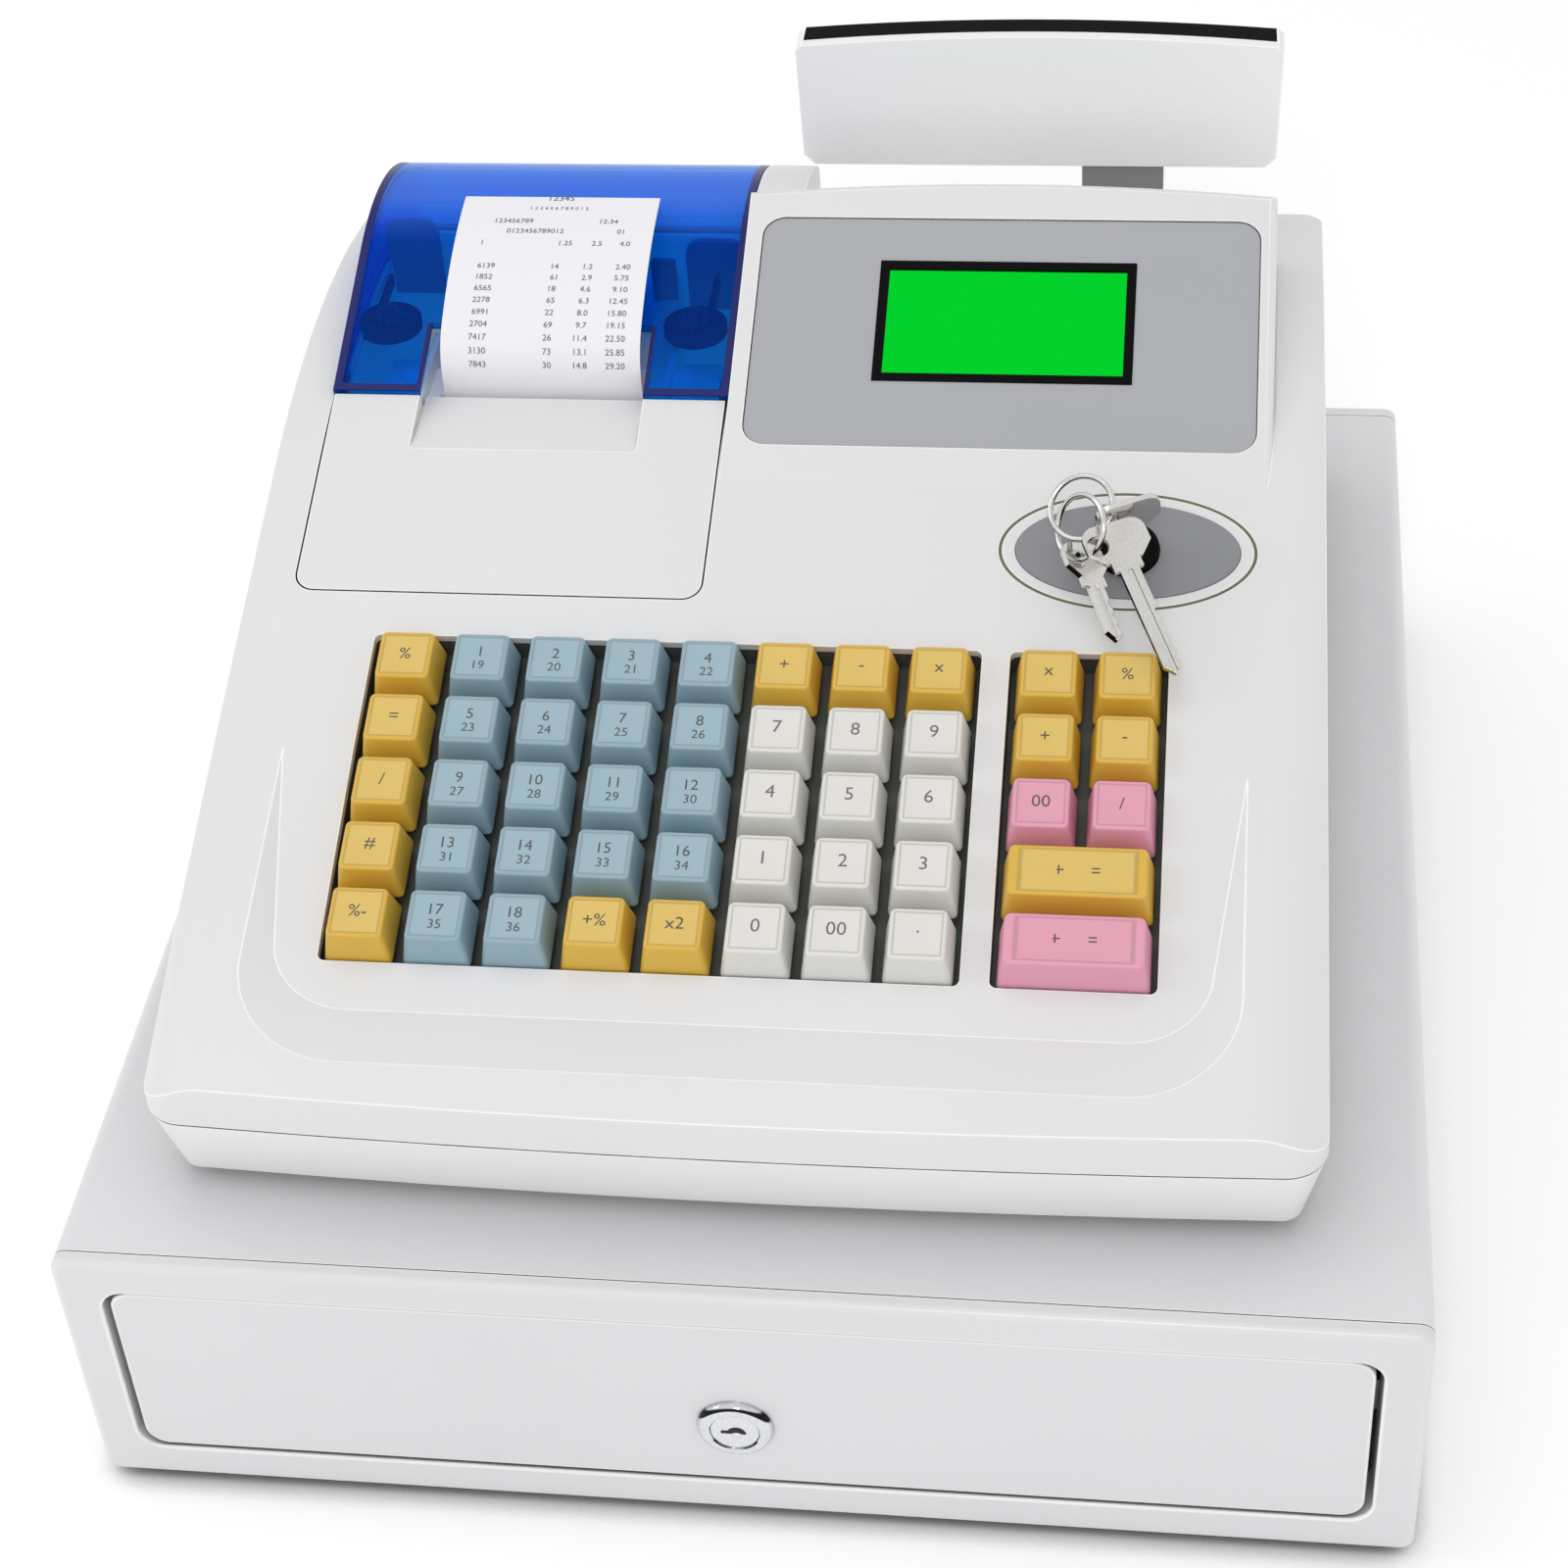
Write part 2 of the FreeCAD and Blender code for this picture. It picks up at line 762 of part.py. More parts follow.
def crown_section(along, inset):
    """Cross-section under the key face: flat, with a rounded shoulder each side."""
    share = (along + ridge_height) / (bend_along + ridge_height)
    edge = shoulder_front + (shoulder_rear - shoulder_front) * share
    radius = shoulder_radius - inset
    def on_shoulder(angle, side):
        return Vec(side * (edge + radius * sin(angle)), along, radius * cos(angle) - shoulder_radius)
    end = on_shoulder(shoulder_turn, 1)
    return closed_wire([
        on_shoulder(0, -1), on_shoulder(0, 1), (on_shoulder(shoulder_turn / 2, 1), end),
        Vec(end.x, along, -crown_depth), Vec(-end.x, along, -crown_depth), Vec(-end.x, along, end.z),
        (on_shoulder(shoulder_turn / 2, -1), on_shoulder(0, -1))])


def make_crown(inset):
    """The sloped face, then the same section turned over the top to the back."""
    slope = Part.makeLoft([crown_section(-ridge_height, inset), crown_section(bend_along, inset)], True, True)
    turned = Part.Face(crown_section(bend_along, inset))
    turned = turned.revolve(Vec(0, bend_along, -crown_radius), -X_AXIS, main_slope + crown_turn)
    return [on_key_face(slope), on_key_face(turned)]


def make_hood(inset):
    """Raised block for the display, its back edge arched in plan."""
    x0 = hood_left + inset
    x1 = hood_right - inset
    half_back = (hood_rear_middle + hood_rear_side) / 2
    def outline(z, spread):
        side = hood_rear_side + spread - inset
        return closed_wire([Vec(x0, hood_front_inside, z), Vec(x1, hood_front_inside, z), Vec(x1, side, z),
                            (Vec((x0 + x1) / 2, hood_rear_middle + spread - inset, z), Vec(x0, side, z))])
    block = Part.makeLoft([outline(hood_base, hood_back_draft), outline(hood_top, 0)], True, True)
    lid = box(x0 - over, x1 + over, -hood_base, register_depth, -inset, hood_top)
    hood = block.cut(on_hood_face(lid))
    if inset:
        return hood
    def outer_edge(edge, middle):
        face_height = hood_start_z + (middle.y - hood_start_y) * tan(hood_slope)
        on_top = abs(middle.z - face_height) < reveal
        return on_top and (middle.y > hood_rear_side - over or middle.x > x1 - reveal)
    return rounded_edges(hood, hood_edge, outer_edge)


def window_profile(inset):
    """Side outline of the printer window: slope, large arc, tail arc round the hinge."""
    across = Vec(0, cos(window_slope), sin(window_slope))
    front = flap_rear_y - over
    def on_line(y):
        height = window_tangent_height + (y - window_tangent_setback) * tan(window_slope)
        return height - inset / cos(window_slope)
    def on_arc(angle, radius, cy, cz):
        return (cy + radius * sin(angle), cz + radius * cos(angle))
    big = window_arc_radius - inset
    small = window_tail_radius - inset
    tangent = on_arc(-window_slope, big, arc_centre_y, arc_centre_z)
    join = on_arc(tail_angle, big, arc_centre_y, arc_centre_z)
    end = on_arc(90 + window_tail_end, small, hinge_y, window_hinge_height)
    middle_big = on_arc((tail_angle - window_slope) / 2, big, arc_centre_y, arc_centre_z)
    middle_small = on_arc((tail_angle + 90 + window_tail_end) / 2, small, hinge_y, window_hinge_height)
    floor = hood_base
    return [(front, floor), (front, on_line(front)), tangent, (middle_big, join), (middle_small, end),
            (end[0], floor)]


def make_cheek():
    """Fixed end of the printer housing beside the window, with the window's outline."""
    return side_prism(window_profile(0), hood_left, cheek_right)


def dish_cutter(sink):
    """Shallow bowl round the keys: sloped bands at front and sides, floor fading out behind."""
    def outline(n, spread):
        return rounded_rectangle(-dish_half_width - spread * dish_band_side,
                                 dish_half_width + spread * dish_band_side,
                                 dish_front - spread * dish_band_front,
                                 dish_rear + spread * dish_band_side,
                                 dish_corner + spread * dish_band_side, n)
    bowl = Part.makeLoft([outline(dish_depth, 1), outline(-dish_depth, -1)], True, True)
    low = dish_front + dish_band_front
    fall = dish_depth / (dish_fade - low)
    front = dish_front - dish_rear
    floor = side_prism([(front, -(dish_fade - front) * fall), (dish_rear, (dish_rear - dish_fade) * fall),
                        (dish_rear, dish_rear), (front, dish_rear)],
                       -2 * dish_half_width, 2 * dish_half_width)
    return on_key_face(moved(bowl.common(floor), 0, 0, -sink))


def key_well(x0, x1, grow, low, high):
    return on_key_face(rounded_block(x0 - grow, x1 + grow, well_front_along - grow, well_rear_along + grow,
                                     low, high, well_corner + grow))


def both_wells(grow, low, high):
    return [key_well(well_left, well_right, grow, low, high),
            key_well(right_well_left, right_well_right, grow, low, high)]


def flap_block(grow, low, high, rear):
    return on_key_face(rounded_block(flap_left - grow, flap_right + grow, flap_front - grow, rear,
                                     low, high, flap_corner + grow))


def printer_bay():
    """The clear way down through the case under the flap and the window."""
    front = ridge_setback + (flap_front + flap_ledge) * cos(main_slope)
    left = window_left + bay_inset
    right = window_right - bay_inset
    return box(left, right, front, bay_rear, parting_height, hood_top)


def ellipse_prism(half_across, half_along, low, high):
    curve = Part.Ellipse(Vec(lock_across, lock_along, low), half_across, half_along)
    return Part.Face(Part.Wire(curve.toShape())).extrude(Vec(0, 0, high - low))


def hinge_lugs():
    """Two ears inside the window that carry its pins."""
    lugs = []
    for wall, way in ((window_left + window_wall, 1), (window_right - window_wall, -1)):
        inner = wall + way * (running_gap + window_lug)
        x0, x1 = sorted((wall + way * running_gap, inner))
        reach = window_tail_radius - window_wall - running_gap * 2
        lug = cylinder(reach, Vec(x0, hinge_y, window_hinge_height), X_AXIS, x1 - x0)
        foot = box(x0, x1, hinge_y - reach, hinge_y + reach / 2, window_hinge_height - 3 * reach,
                   window_hinge_height)
        pin_start = min(x0, wall - way * window_wall * window_pin_share)
        pin = cylinder(window_hinge_pin, Vec(pin_start, hinge_y, window_hinge_height), X_AXIS,
                       window_lug + running_gap + window_wall * window_pin_share)
        lugs += [lug, foot, pin]
    return lugs


def make_cavity():
    """The inside of the upper case, a wall's thickness in from every face."""
    room = joined(make_crown(plastic_wall) + [make_hood(plastic_wall)])
    plan = plan_prism(plastic_wall, parting_height - over, hood_top)
    room = room.common(plan)
    ledge = flap_block(plastic_wall, -flap_thickness - plastic_wall, over, flap_rear + over)
    pocket = on_hood_face(rounded_block(panel_left - plastic_wall, panel_right + plastic_wall,
                                        panel_front - plastic_wall, panel_rear + plastic_wall,
                                        -panel_recess - plastic_wall, over, panel_corner + plastic_wall))
    return without(room, [dish_cutter(plastic_wall), ledge, pocket])


def display_recess():
    return on_hood_face(rounded_block(panel_left, panel_right, panel_front, panel_rear,
                                      -panel_recess, over, panel_corner))


def display_window(grow):
    return on_hood_face(rounded_block(bezel_left - grow, bezel_right + grow, bezel_front - grow,
                                      bezel_rear + grow, -screen_cut_depth, over, running_gap))


def case_shell():
    body = joined(make_crown(0)).common(plan_prism(0, parting_height, hood_top))
    return joined([body, make_hood(0), make_cheek().common(plan_prism(0, parting_height, hood_top))])


def back_cut(across, width, level, height):
    """An upright rectangular hole through the back wall."""
    return box(across - width / 2, across + width / 2, register_depth - 4 * over, register_depth + over,
               level - height / 2, level + height / 2)


def post_hole(grow):
    return box(post_across - post_width / 2 - grow, post_across + post_width / 2 + grow,
               post_setback - post_depth / 2 - grow, post_setback + post_depth / 2 + grow,
               parting_height, hood_top)


def make_upper_case():
    """The main moulding, hollow, with its dish, key wells, printer bay, hood and recesses."""
    shell = without(case_shell(), [make_cavity()])
    ring = ellipse_prism(ring_half_across, ring_half_along, -ring_groove, over)
    ring = ring.cut(ellipse_prism(ring_half_across - ring_groove, ring_half_along - ring_groove,
                                  -2 * ring_groove, 2 * over))
    plate = ellipse_prism(plate_half_across + running_gap / 2, plate_half_along + running_gap / 2,
                          -plate_recess, over)
    barrel = cylinder(barrel_radius + running_gap, Vec(lock_across, lock_along, -2 * over), Z_AXIS, 4 * over)
    cutters = [dish_cutter(0), flap_block(reveal, -flap_thickness, over, flap_rear + over), printer_bay(),
               display_recess(), display_window(running_gap), post_hole(running_gap),
               on_key_face(ring), on_key_face(plate), on_key_face(barrel)]
    cutters += both_wells(0, -2 * over, 2 * over)
    cutters.append(back_cut(switch_across, switch_width, switch_level, switch_height))
    cutters.append(back_cut(inlet_across, inlet_width, socket_level, inlet_height))
    for port in range(port_count):
        across = port_first_across + port * port_pitch
        cutters.append(back_cut(across, port_width, socket_level, port_height))
    shell = without(shell, cutters)
    return on_register(joined([shell] + hinge_lugs()))


def make_lower_case():
    """Tray that tapers down to the drawer, with a shallow groove along the parting line."""
    def tapered(inset, z0, z1):
        reach = parting_height
        def ring(z):
            away = (reach - z) / reach
            nose = away * (lower_taper_front - lower_taper_side)
            return plan_outline(inset + away * lower_taper_side, z, nose)
        return Part.makeLoft([ring(z0), ring(z1)], True, True)
    tray = tapered(0, 0, parting_height)
    hollow = tapered(plastic_wall, plastic_wall, parting_height + over)
    edge = plan_prism(-over, parting_height - parting_groove, parting_height + over)
    groove = edge.cut(plan_prism(parting_groove, parting_height - over, parting_height + 2 * over))
    return on_register(without(tray, [hollow, groove]))


def make_keyboard_deck():
    """Tray under the key wells that guides every key's stem."""
    low = -deck_floor - deck_thickness
    outer = joined(both_wells(deck_rim, low, over))
    pocket = both_wells(0, -deck_floor, 2 * over)
    room = make_cavity()
    hole_half = key_stem / 2 + running_gap
    holes = []
    for across, along in key_places():
        hole = box(across - hole_half, across + hole_half, along - hole_half, along + hole_half,
                   low - over, 0)
        holes.append(on_key_face(hole))
    return on_register(without(outer.common(room), pocket + holes))


# Keys

def key_column(column):
    return key_first_across + column * key_pitch_across


def key_row(row):
    return key_last_row + row * key_pitch_along


def wide_key_centre():
    return right_first_across + key_pitch_across / 2


def key_places():
    """Centres of all key stems on the key face."""
    left = [(key_column(column), key_row(row)) for column in range(key_columns) for row in range(key_rows)]
    right = [(right_first_across + side * key_pitch_across, key_row(row))
             for side in (0, 1) for row in (2, 3, 4)]
    wide = [(wide_key_centre(), key_row(row)) for row in (0, 1)]
    return left + right + wide


def key_cap(across, along, extra=0.0):
    """A cap with sloped skirts, its top set back, on a square stem."""
    half = key_base / 2
    top = key_top / 2
    base_outline = rounded_rectangle(across - half - extra, across + half + extra, along - half, along + half,
                                     key_corner, cap_bottom)
    back = key_top_shift / 2
    top_outline = rounded_rectangle(across - top - extra, across + top + extra,
                                    along - top + back, along + top + back, key_corner, key_proud)
    cap = Part.makeLoft([base_outline, top_outline], True, True)
    stem_half = key_stem / 2
    stem = box(across - stem_half, across + stem_half, along - stem_half, along + stem_half,
               cap_bottom - key_stem_length, cap_bottom)
    return on_register(on_key_face(joined([cap, stem])))


def make_key_group(places):
    return Part.makeCompound([key_cap(key_column(column), key_row(row)) for column, row in places])


def single_keys():
    """Name, centre across, centre along and extra half width of each key with its own node."""
    keys = []
    for digit in range(1, 10):
        column = 5 + (digit - 1) % 3
        row = 1 + (digit - 1) // 3
        keys.append(("key_%d" % digit, key_column(column), key_row(row), 0.0))
    for name, column in (("key_0", 5), ("key_00", 6), ("key_point", 7)):
        keys.append((name, key_column(column), key_row(0), 0.0))
    for row, name in ((4, "upper"), (3, "middle"), (2, "lower")):
        for side, place in ((0, "left"), (1, "right")):
            across = right_first_across + side * key_pitch_across
            keys.append(("key_%s_%s" % (name, place), across, key_row(row), 0.0))
    keys.append(("key_subtotal", wide_key_centre(), key_row(1), key_pitch_across / 2))
    keys.append(("key_cash", wide_key_centre(), key_row(0), key_pitch_across / 2))
    return keys


def function_places():
    first = [(0, row) for row in range(key_rows)]
    return first + [(3, 0), (4, 0)] + [(column, key_rows - 1) for column in (5, 6, 7)]


def department_places():
    taken = function_places()
    return [(column, row) for column in range(1, 5) for row in range(key_rows) if (column, row) not in taken]


# Printer

def make_printer_flap():
    """Flat cover over the printer with a ramp that falls away under the paper."""
    plate = rounded_block(flap_left, flap_right, flap_front, flap_rear, -flap_thickness, 0, flap_corner)
    square = box(flap_left, flap_right, flap_rear - 2 * flap_corner, flap_rear, -flap_thickness, 0)
    under = side_prism([(ramp_start, -flap_thickness), (flap_rear, -flap_thickness),
                        (flap_rear, -ramp_depth - flap_thickness)],
                       ramp_left - plastic_wall, ramp_right + plastic_wall)
    fall = ramp_depth / (flap_rear - ramp_start)
    end = flap_rear + ramp_overhang
    low = (end - ramp_start) * fall
    tongue = side_prism([(flap_rear, -ramp_depth), (end, -low), (end, -low - flap_thickness),
                         (flap_rear - flap_thickness, -ramp_depth - flap_thickness),
                         (flap_rear - flap_thickness, -ramp_depth)], ramp_left + reveal, ramp_right - reveal)
    ramp = side_prism([(ramp_start - over, over * fall), (end + over, -low - over * fall),
                       (end + over, over), (ramp_start - over, over)], ramp_left, ramp_right)
    return on_register(on_key_face(without(joined([plate, square, under, tongue]), [ramp])))


def make_printer_window():
    """Clear blue cover: arched shell with side skirts and a notch for the paper."""
    outside = side_prism(window_profile(0), window_left, window_right)
    inside = side_prism(window_profile(window_wall), window_left + window_wall, window_right - window_wall)
    inside = inside.fuse(box(window_left + window_wall, window_right - window_wall,
                             flap_rear_y - 2 * over, flap_rear_y + over, hood_base - over,
                             window_front_height - window_wall / cos(window_slope)))
    front = flap_rear_y + reveal
    before = box(window_left - over, window_right + over, front - 4 * over, front, 0, 2 * hood_top)
    notch = box(ramp_left, ramp_right, front - over, front + window_notch_depth, hood_base, 2 * hood_top)
    holes = cylinder(window_hinge_pin + pin_clearance, Vec(window_left - over, hinge_y, window_hinge_height),
                     X_AXIS, window_right - window_left + 2 * over)
    tail = 2 * window_tail_radius
    below = box(window_left - over, window_right + over, hinge_y - tail, register_depth + over, 0,
                window_hinge_height - window_tail_radius * sin(window_tail_end))
    clear = joined(make_crown(-running_gap))
    slots = []
    for wall, way in ((window_left + window_wall, 1), (window_right - window_wall, -1)):
        x0, x1 = sorted((wall, wall + way * (window_lug + 2 * running_gap)))
        slots.append(box(x0, x1, hinge_y, register_depth + over, 0, window_hinge_height + ear_slot_rise))
    shell = without(outside, [inside, before, notch, holes, clear, below] + slots)
    return on_register(shell)


def make_receipt_paper():
    """Strip that rises from the roller behind the flap and arches back above the window."""
    start = platen_setback - platen_radius - running_gap
    bend_y = start + receipt_bend
    reach = receipt_arc - receipt_bend
    arc_y = bend_y + reach * sin(receipt_middle_angle)
    arc_z = receipt_bend_height - reach * cos(receipt_middle_angle)
    def spot(y, z, radius, angle):
        return Vec(0, y - radius * sin(angle), z + radius * cos(angle))
    def run(off):
        steep = (90 + receipt_middle_angle) / 2
        gentle = (receipt_middle_angle + receipt_end_angle) / 2
        bend = [spot(bend_y, receipt_bend_height, receipt_bend + off, angle)
                for angle in (90, steep, receipt_middle_angle)]
        arc = [spot(arc_y, arc_z, receipt_arc + off, angle) for angle in (gentle, receipt_end_angle)]
        return [Vec(0, start - off, receipt_start_height)] + bend + arc
    a, b = run(0), run(paper_thickness)
    outline = closed_wire([a[0], a[1], (a[2], a[3]), (a[4], a[5]), b[5], (b[4], b[3]), (b[2], b[1]), b[0]])
    strip = Part.Face(outline).extrude(Vec(paper_width, 0, 0))
    return on_register(moved(strip, paper_centre - paper_width / 2))


def make_printer_well():
    """Deep tray under the window: cradle floor and the two posts of the paper spindle."""
    left = window_left + bay_inset
    right = window_right - bay_inset
    front = ridge_setback + (flap_front + flap_ledge) * cos(main_slope)
    outer = box(left - plastic_wall, right + plastic_wall, front - plastic_wall, well_rear + plastic_wall,
                well_floor - plastic_wall, hood_top)
    bend = roll_radius * (1 - math.sqrt(0.5))
    pocket = side_prism([(front, hood_top), (front, well_floor + roll_radius),
                         ((front + bend, well_floor + bend), (front + roll_radius, well_floor)),
                         (well_rear - roll_radius, well_floor),
                         ((well_rear - bend, well_floor + bend), (well_rear, well_floor + roll_radius)),
                         (well_rear, hood_top)], left, right)
    tray = without(outer.common(make_cavity()), [pocket])
    half = paper_width / 2 + 2 * running_gap
    posts = []
    for side in (-1, 1):
        x0 = paper_centre + side * half - (side < 0) * roll_post_thickness
        posts.append(box(x0, x0 + roll_post_thickness, roll_setback - roll_post_width / 2,
                         roll_setback + roll_post_width / 2, well_floor, roll_height + roll_post_width / 2))
    spindle = cylinder(roll_core - running_gap, Vec(paper_centre - half, roll_setback, roll_height),
                       X_AXIS, 2 * half)
    return on_register(joined([tray, spindle] + posts))


def make_paper_roll():
    half = paper_width / 2
    roll = cylinder(roll_radius, Vec(paper_centre - half, roll_setback, roll_height), X_AXIS, paper_width)
    core = cylinder(roll_core, Vec(paper_centre - half - over, roll_setback, roll_height), X_AXIS,
                    paper_width + 2 * over)
    return on_register(roll.cut(core))


def spool_outline(radius, teeth, depth, z):
    """A toothed rim as straight flanks between root and tip circles."""
    corners = []
    for tooth in range(teeth):
        for share, reach in zip(spool_tooth_shares, (radius - depth, radius, radius, radius - depth)):
            angle = 360 * (tooth + share) / teeth
            corners.append(Vec(reach * cos(angle), reach * sin(angle), z))
    return closed_wire(corners)


def make_printer_mechanism():
    """Printer unit: side frames, deck, tear edge and a ribbon spool on each side."""
    x0 = paper_centre - mechanism_half_width
    x1 = paper_centre + mechanism_half_width
    frame = box(x0, x1, mechanism_front, mechanism_rear, well_floor, mechanism_deck)
    clear_half = paper_width / 2 + 3 * mechanism_wall
    middle = box(paper_centre - clear_half, paper_centre + clear_half, mechanism_front - over,
                 mechanism_rear + over, well_floor + mechanism_wall, hood_top)
    sides = []
    for side in (-1, 1):
        wall = paper_centre + side * clear_half - (side < 0) * mechanism_wall
        sides.append(box(wall, wall + mechanism_wall, mechanism_front + 2 * mechanism_wall, mechanism_rear,
                         well_floor, mechanism_deck + mechanism_rise))
        centre = paper_centre + side * spool_offset
        spot = Vec(centre, spool_setback, mechanism_deck)
        outline = spool_outline(spool_radius, spool_teeth, spool_tooth, 0)
        rim = Part.Face(outline).extrude(Vec(0, 0, spool_height))
        sides.append(moved(rim, spot.x, spot.y, spot.z))
        sides.append(cylinder(spool_hub, spot, Z_AXIS, spool_height + 2 * mechanism_wall))
    shaft_bore = cylinder(platen_shaft + pin_clearance,
                          Vec(paper_centre - clear_half - over, platen_setback, platen_height), X_AXIS,
                          2 * clear_half + 2 * over)
    pockets = []
    for side in (-1, 1):
        outer = paper_centre + side * (mechanism_half_width - mechanism_wall)
        inner = paper_centre + side * (clear_half + mechanism_wall)
        low, high = sorted((outer, inner))
        pockets.append(box(low, high, mechanism_front + mechanism_wall, mechanism_rear - mechanism_wall,
                           well_floor - over, mechanism_deck - mechanism_wall))
    bar = box(paper_centre - clear_half, paper_centre + clear_half, mechanism_rear - mechanism_wall,
              mechanism_rear, well_floor, platen_height + platen_radius)
    frame = without(frame, [middle] + pockets)
    return on_register(without(joined([frame, bar] + sides), [shaft_bore]))


def make_platen_roller():
    """Rubber-covered roller on its shaft."""
    half = paper_width / 2 + mechanism_wall
    start = Vec(paper_centre - half, platen_setback, platen_height)
    roller = cylinder(platen_radius, start, X_AXIS, 2 * half)
    reach = half + 2 * mechanism_wall
    shaft_start = Vec(paper_centre - reach, platen_setback, platen_height)
    shaft = cylinder(platen_shaft, shaft_start, X_AXIS, 2 * reach)
    return on_register(joined([roller, shaft]))


# Operator display and mode lock

def make_display_panel():
    gap = running_gap
    plate = rounded_block(panel_left + gap, panel_right - gap, panel_front + gap, panel_rear - gap,
                          -panel_recess, -panel_recess + panel_thickness, panel_corner - gap)
    hole = box(bezel_left, bezel_right, bezel_front, bezel_rear, -over, over)
    return on_register(on_hood_face(without(plate, [hole])))


def make_lcd_bezel():
    """Black frame in the panel's cut-out, reaching down to the screen."""
    gap = running_gap / 3
    outer = box(bezel_left + gap, bezel_right - gap, bezel_front + gap, bezel_rear - gap,
                -panel_recess - bezel_drop, -panel_recess + panel_thickness + running_gap)
    inner = box(bezel_left + bezel_bar, bezel_right - bezel_bar, bezel_front + bezel_bar,
                bezel_rear - bezel_bar, -over, over)
    return on_register(on_hood_face(without(outer, [inner])))


def make_lcd_glass():
    top = -panel_recess + panel_thickness - glass_below
    slab = box(bezel_left + bezel_bar, bezel_right - bezel_bar, bezel_front + bezel_bar,
               bezel_rear - bezel_bar, top - glass_thickness, top)
    return on_register(on_hood_face(slab))


def make_mode_lock_plate():
    """Elliptical plate with the hole for the lock barrel."""
    plate = ellipse_prism(plate_half_across, plate_half_along, -plate_recess, plate_thickness - plate_recess)
    hole = cylinder(barrel_radius + running_gap, Vec(lock_across, lock_along, -over), Z_AXIS, 2 * over)
    return on_register(on_key_face(without(plate, [hole])))


def make_mode_lock_cylinder():
    """Lock barrel with a raised rim and a keyway."""
    spot = Vec(lock_across, lock_along, -barrel_depth)
    barrel = cylinder(barrel_radius, spot, Z_AXIS, barrel_depth + barrel_proud)
    face = cylinder(barrel_radius - 2 * barrel_rim, Vec(lock_across, lock_along, barrel_proud - barrel_rim),
                    Z_AXIS, over)
    half = key_blade_width / 2 + pin_clearance
    slot = box(-half, half, -key_sheet / 2 - pin_clearance, key_sheet / 2 + pin_clearance,
               -barrel_depth + barrel_rim, over)
    slot.rotate(ORIGIN, Z_AXIS, mode_key_turn)
    slot = moved(slot, lock_across, lock_along)
    return on_register(on_key_face(without(barrel, [face, slot])))


def flat_key(bow_across, bow_along, blade_width, blade_length, cuts):
    """A key lying in the XY plane, its hole at the origin near one end of the bow."""
    x0 = -key_hole_edge
    x1 = bow_across - key_hole_edge
    axis = (x0 + x1) / 2
    half = bow_along / 2
    corner = bow_along / 3
    low = -half - key_shoulder
    tip = low - blade_length
    neck = blade_width / 2
    step = neck + key_cut_depth
    bend = corner * (1 - math.sqrt(0.5))
    bow = closed_wire([
        Vec(axis - step, -half, 0), Vec(axis - step, low, 0), Vec(axis + step, low, 0),
        Vec(axis + step, -half, 0), Vec(x1 - corner, -half, 0), Vec(x1, -half + corner, 0),
        Vec(x1, half - corner, 0), (Vec(x1 - bend, half - bend, 0), Vec(x1 - corner, half, 0)),
        Vec(x0 + corner, half, 0), (Vec(x0 + bend, half - bend, 0), Vec(x0, half - corner, 0)),
        Vec(x0, -half + corner, 0), Vec(x0 + corner, -half, 0)])
    blade = [Vec(axis - neck, low + running_gap, 0), Vec(axis - neck, tip + neck, 0), Vec(axis, tip, 0)]
    edge = tip + neck
    for cut in range(cuts):
        start = edge + cut * key_cut_pitch
        blade += [Vec(axis + neck, start, 0),
                  Vec(axis + neck - key_cut_depth, start + key_cut_pitch / 2, 0)]
    blade += [Vec(axis + neck, edge + cuts * key_cut_pitch, 0), Vec(axis + neck, low + running_gap, 0)]
    solids = [Part.Face(wire).extrude(Vec(0, 0, key_sheet)) for wire in (bow, closed_wire(blade))]
    hole = cylinder(key_bow_hole, Vec(0, 0, -over), Z_AXIS, 2 * over)
    groove = box(axis - key_groove, axis + key_groove, tip - over, low, key_sheet * 3 / 4, key_sheet + over)
    return moved(without(joined(solids), [hole, groove]), 0, 0, -key_sheet / 2)


def make_mode_key():
    """The key that stands in the lock, bow upright and its hole to the left."""
    key = flat_key(key_bow_across, key_bow_along, key_blade_width, key_blade_length, key_cuts)
    key.rotate(ORIGIN, X_AXIS, 90)
    key = moved(key, key_hole_edge - key_bow_across / 2, 0, mode_key_hole_rise)
    key.rotate(ORIGIN, Z_AXIS, mode_key_turn)
    end = barrel_rim * 2 - barrel_depth
    below = box(-barrel_radius, barrel_radius, -barrel_radius, barrel_radius, -2 * key_blade_length, end)
    return on_register(on_key_face(moved(key.cut(below), lock_across, lock_along)))


def ring_coil(across, along, rise, lean):
    return Part.makeTorus(bunch_ring_radius, bunch_ring_wire, Vec(across, along, rise), Vec(*lean))


def make_key_ring():
    """Split ring, its two coils spread by the keys that hang on it."""
    coils = [ring_coil(front_coil_across, front_coil_along, front_coil_rise, front_coil_lean_shares),
             ring_coil(back_coil_across, back_coil_along, back_coil_rise, back_coil_lean_shares)]
    return on_register(on_key_face(joined(coils)))


def hung_key(key, across, along, rise, turn, tilt, roll):
    key.rotate(ORIGIN, Y_AXIS, roll)
    key.rotate(ORIGIN, X_AXIS, tilt)
    key.rotate(ORIGIN, Z_AXIS, turn)
    return on_key_face(moved(key, across, along, rise))


def make_hanging_keys():
    """The front key like the one in the lock, and a smaller one behind it."""
    front = flat_key(key_bow_across, key_bow_along, key_blade_width, key_blade_length, key_cuts)
    small = flat_key(small_bow_across, small_bow_along, key_blade_width, small_blade_length, small_key_cuts)
    front = hung_key(front, front_key_across, front_key_along, front_key_rise, *front_key_angles)
    small = hung_key(small, small_key_across, small_key_along, small_key_rise, *small_key_angles)
    return on_register(Part.makeCompound([front, small]))


# Customer display

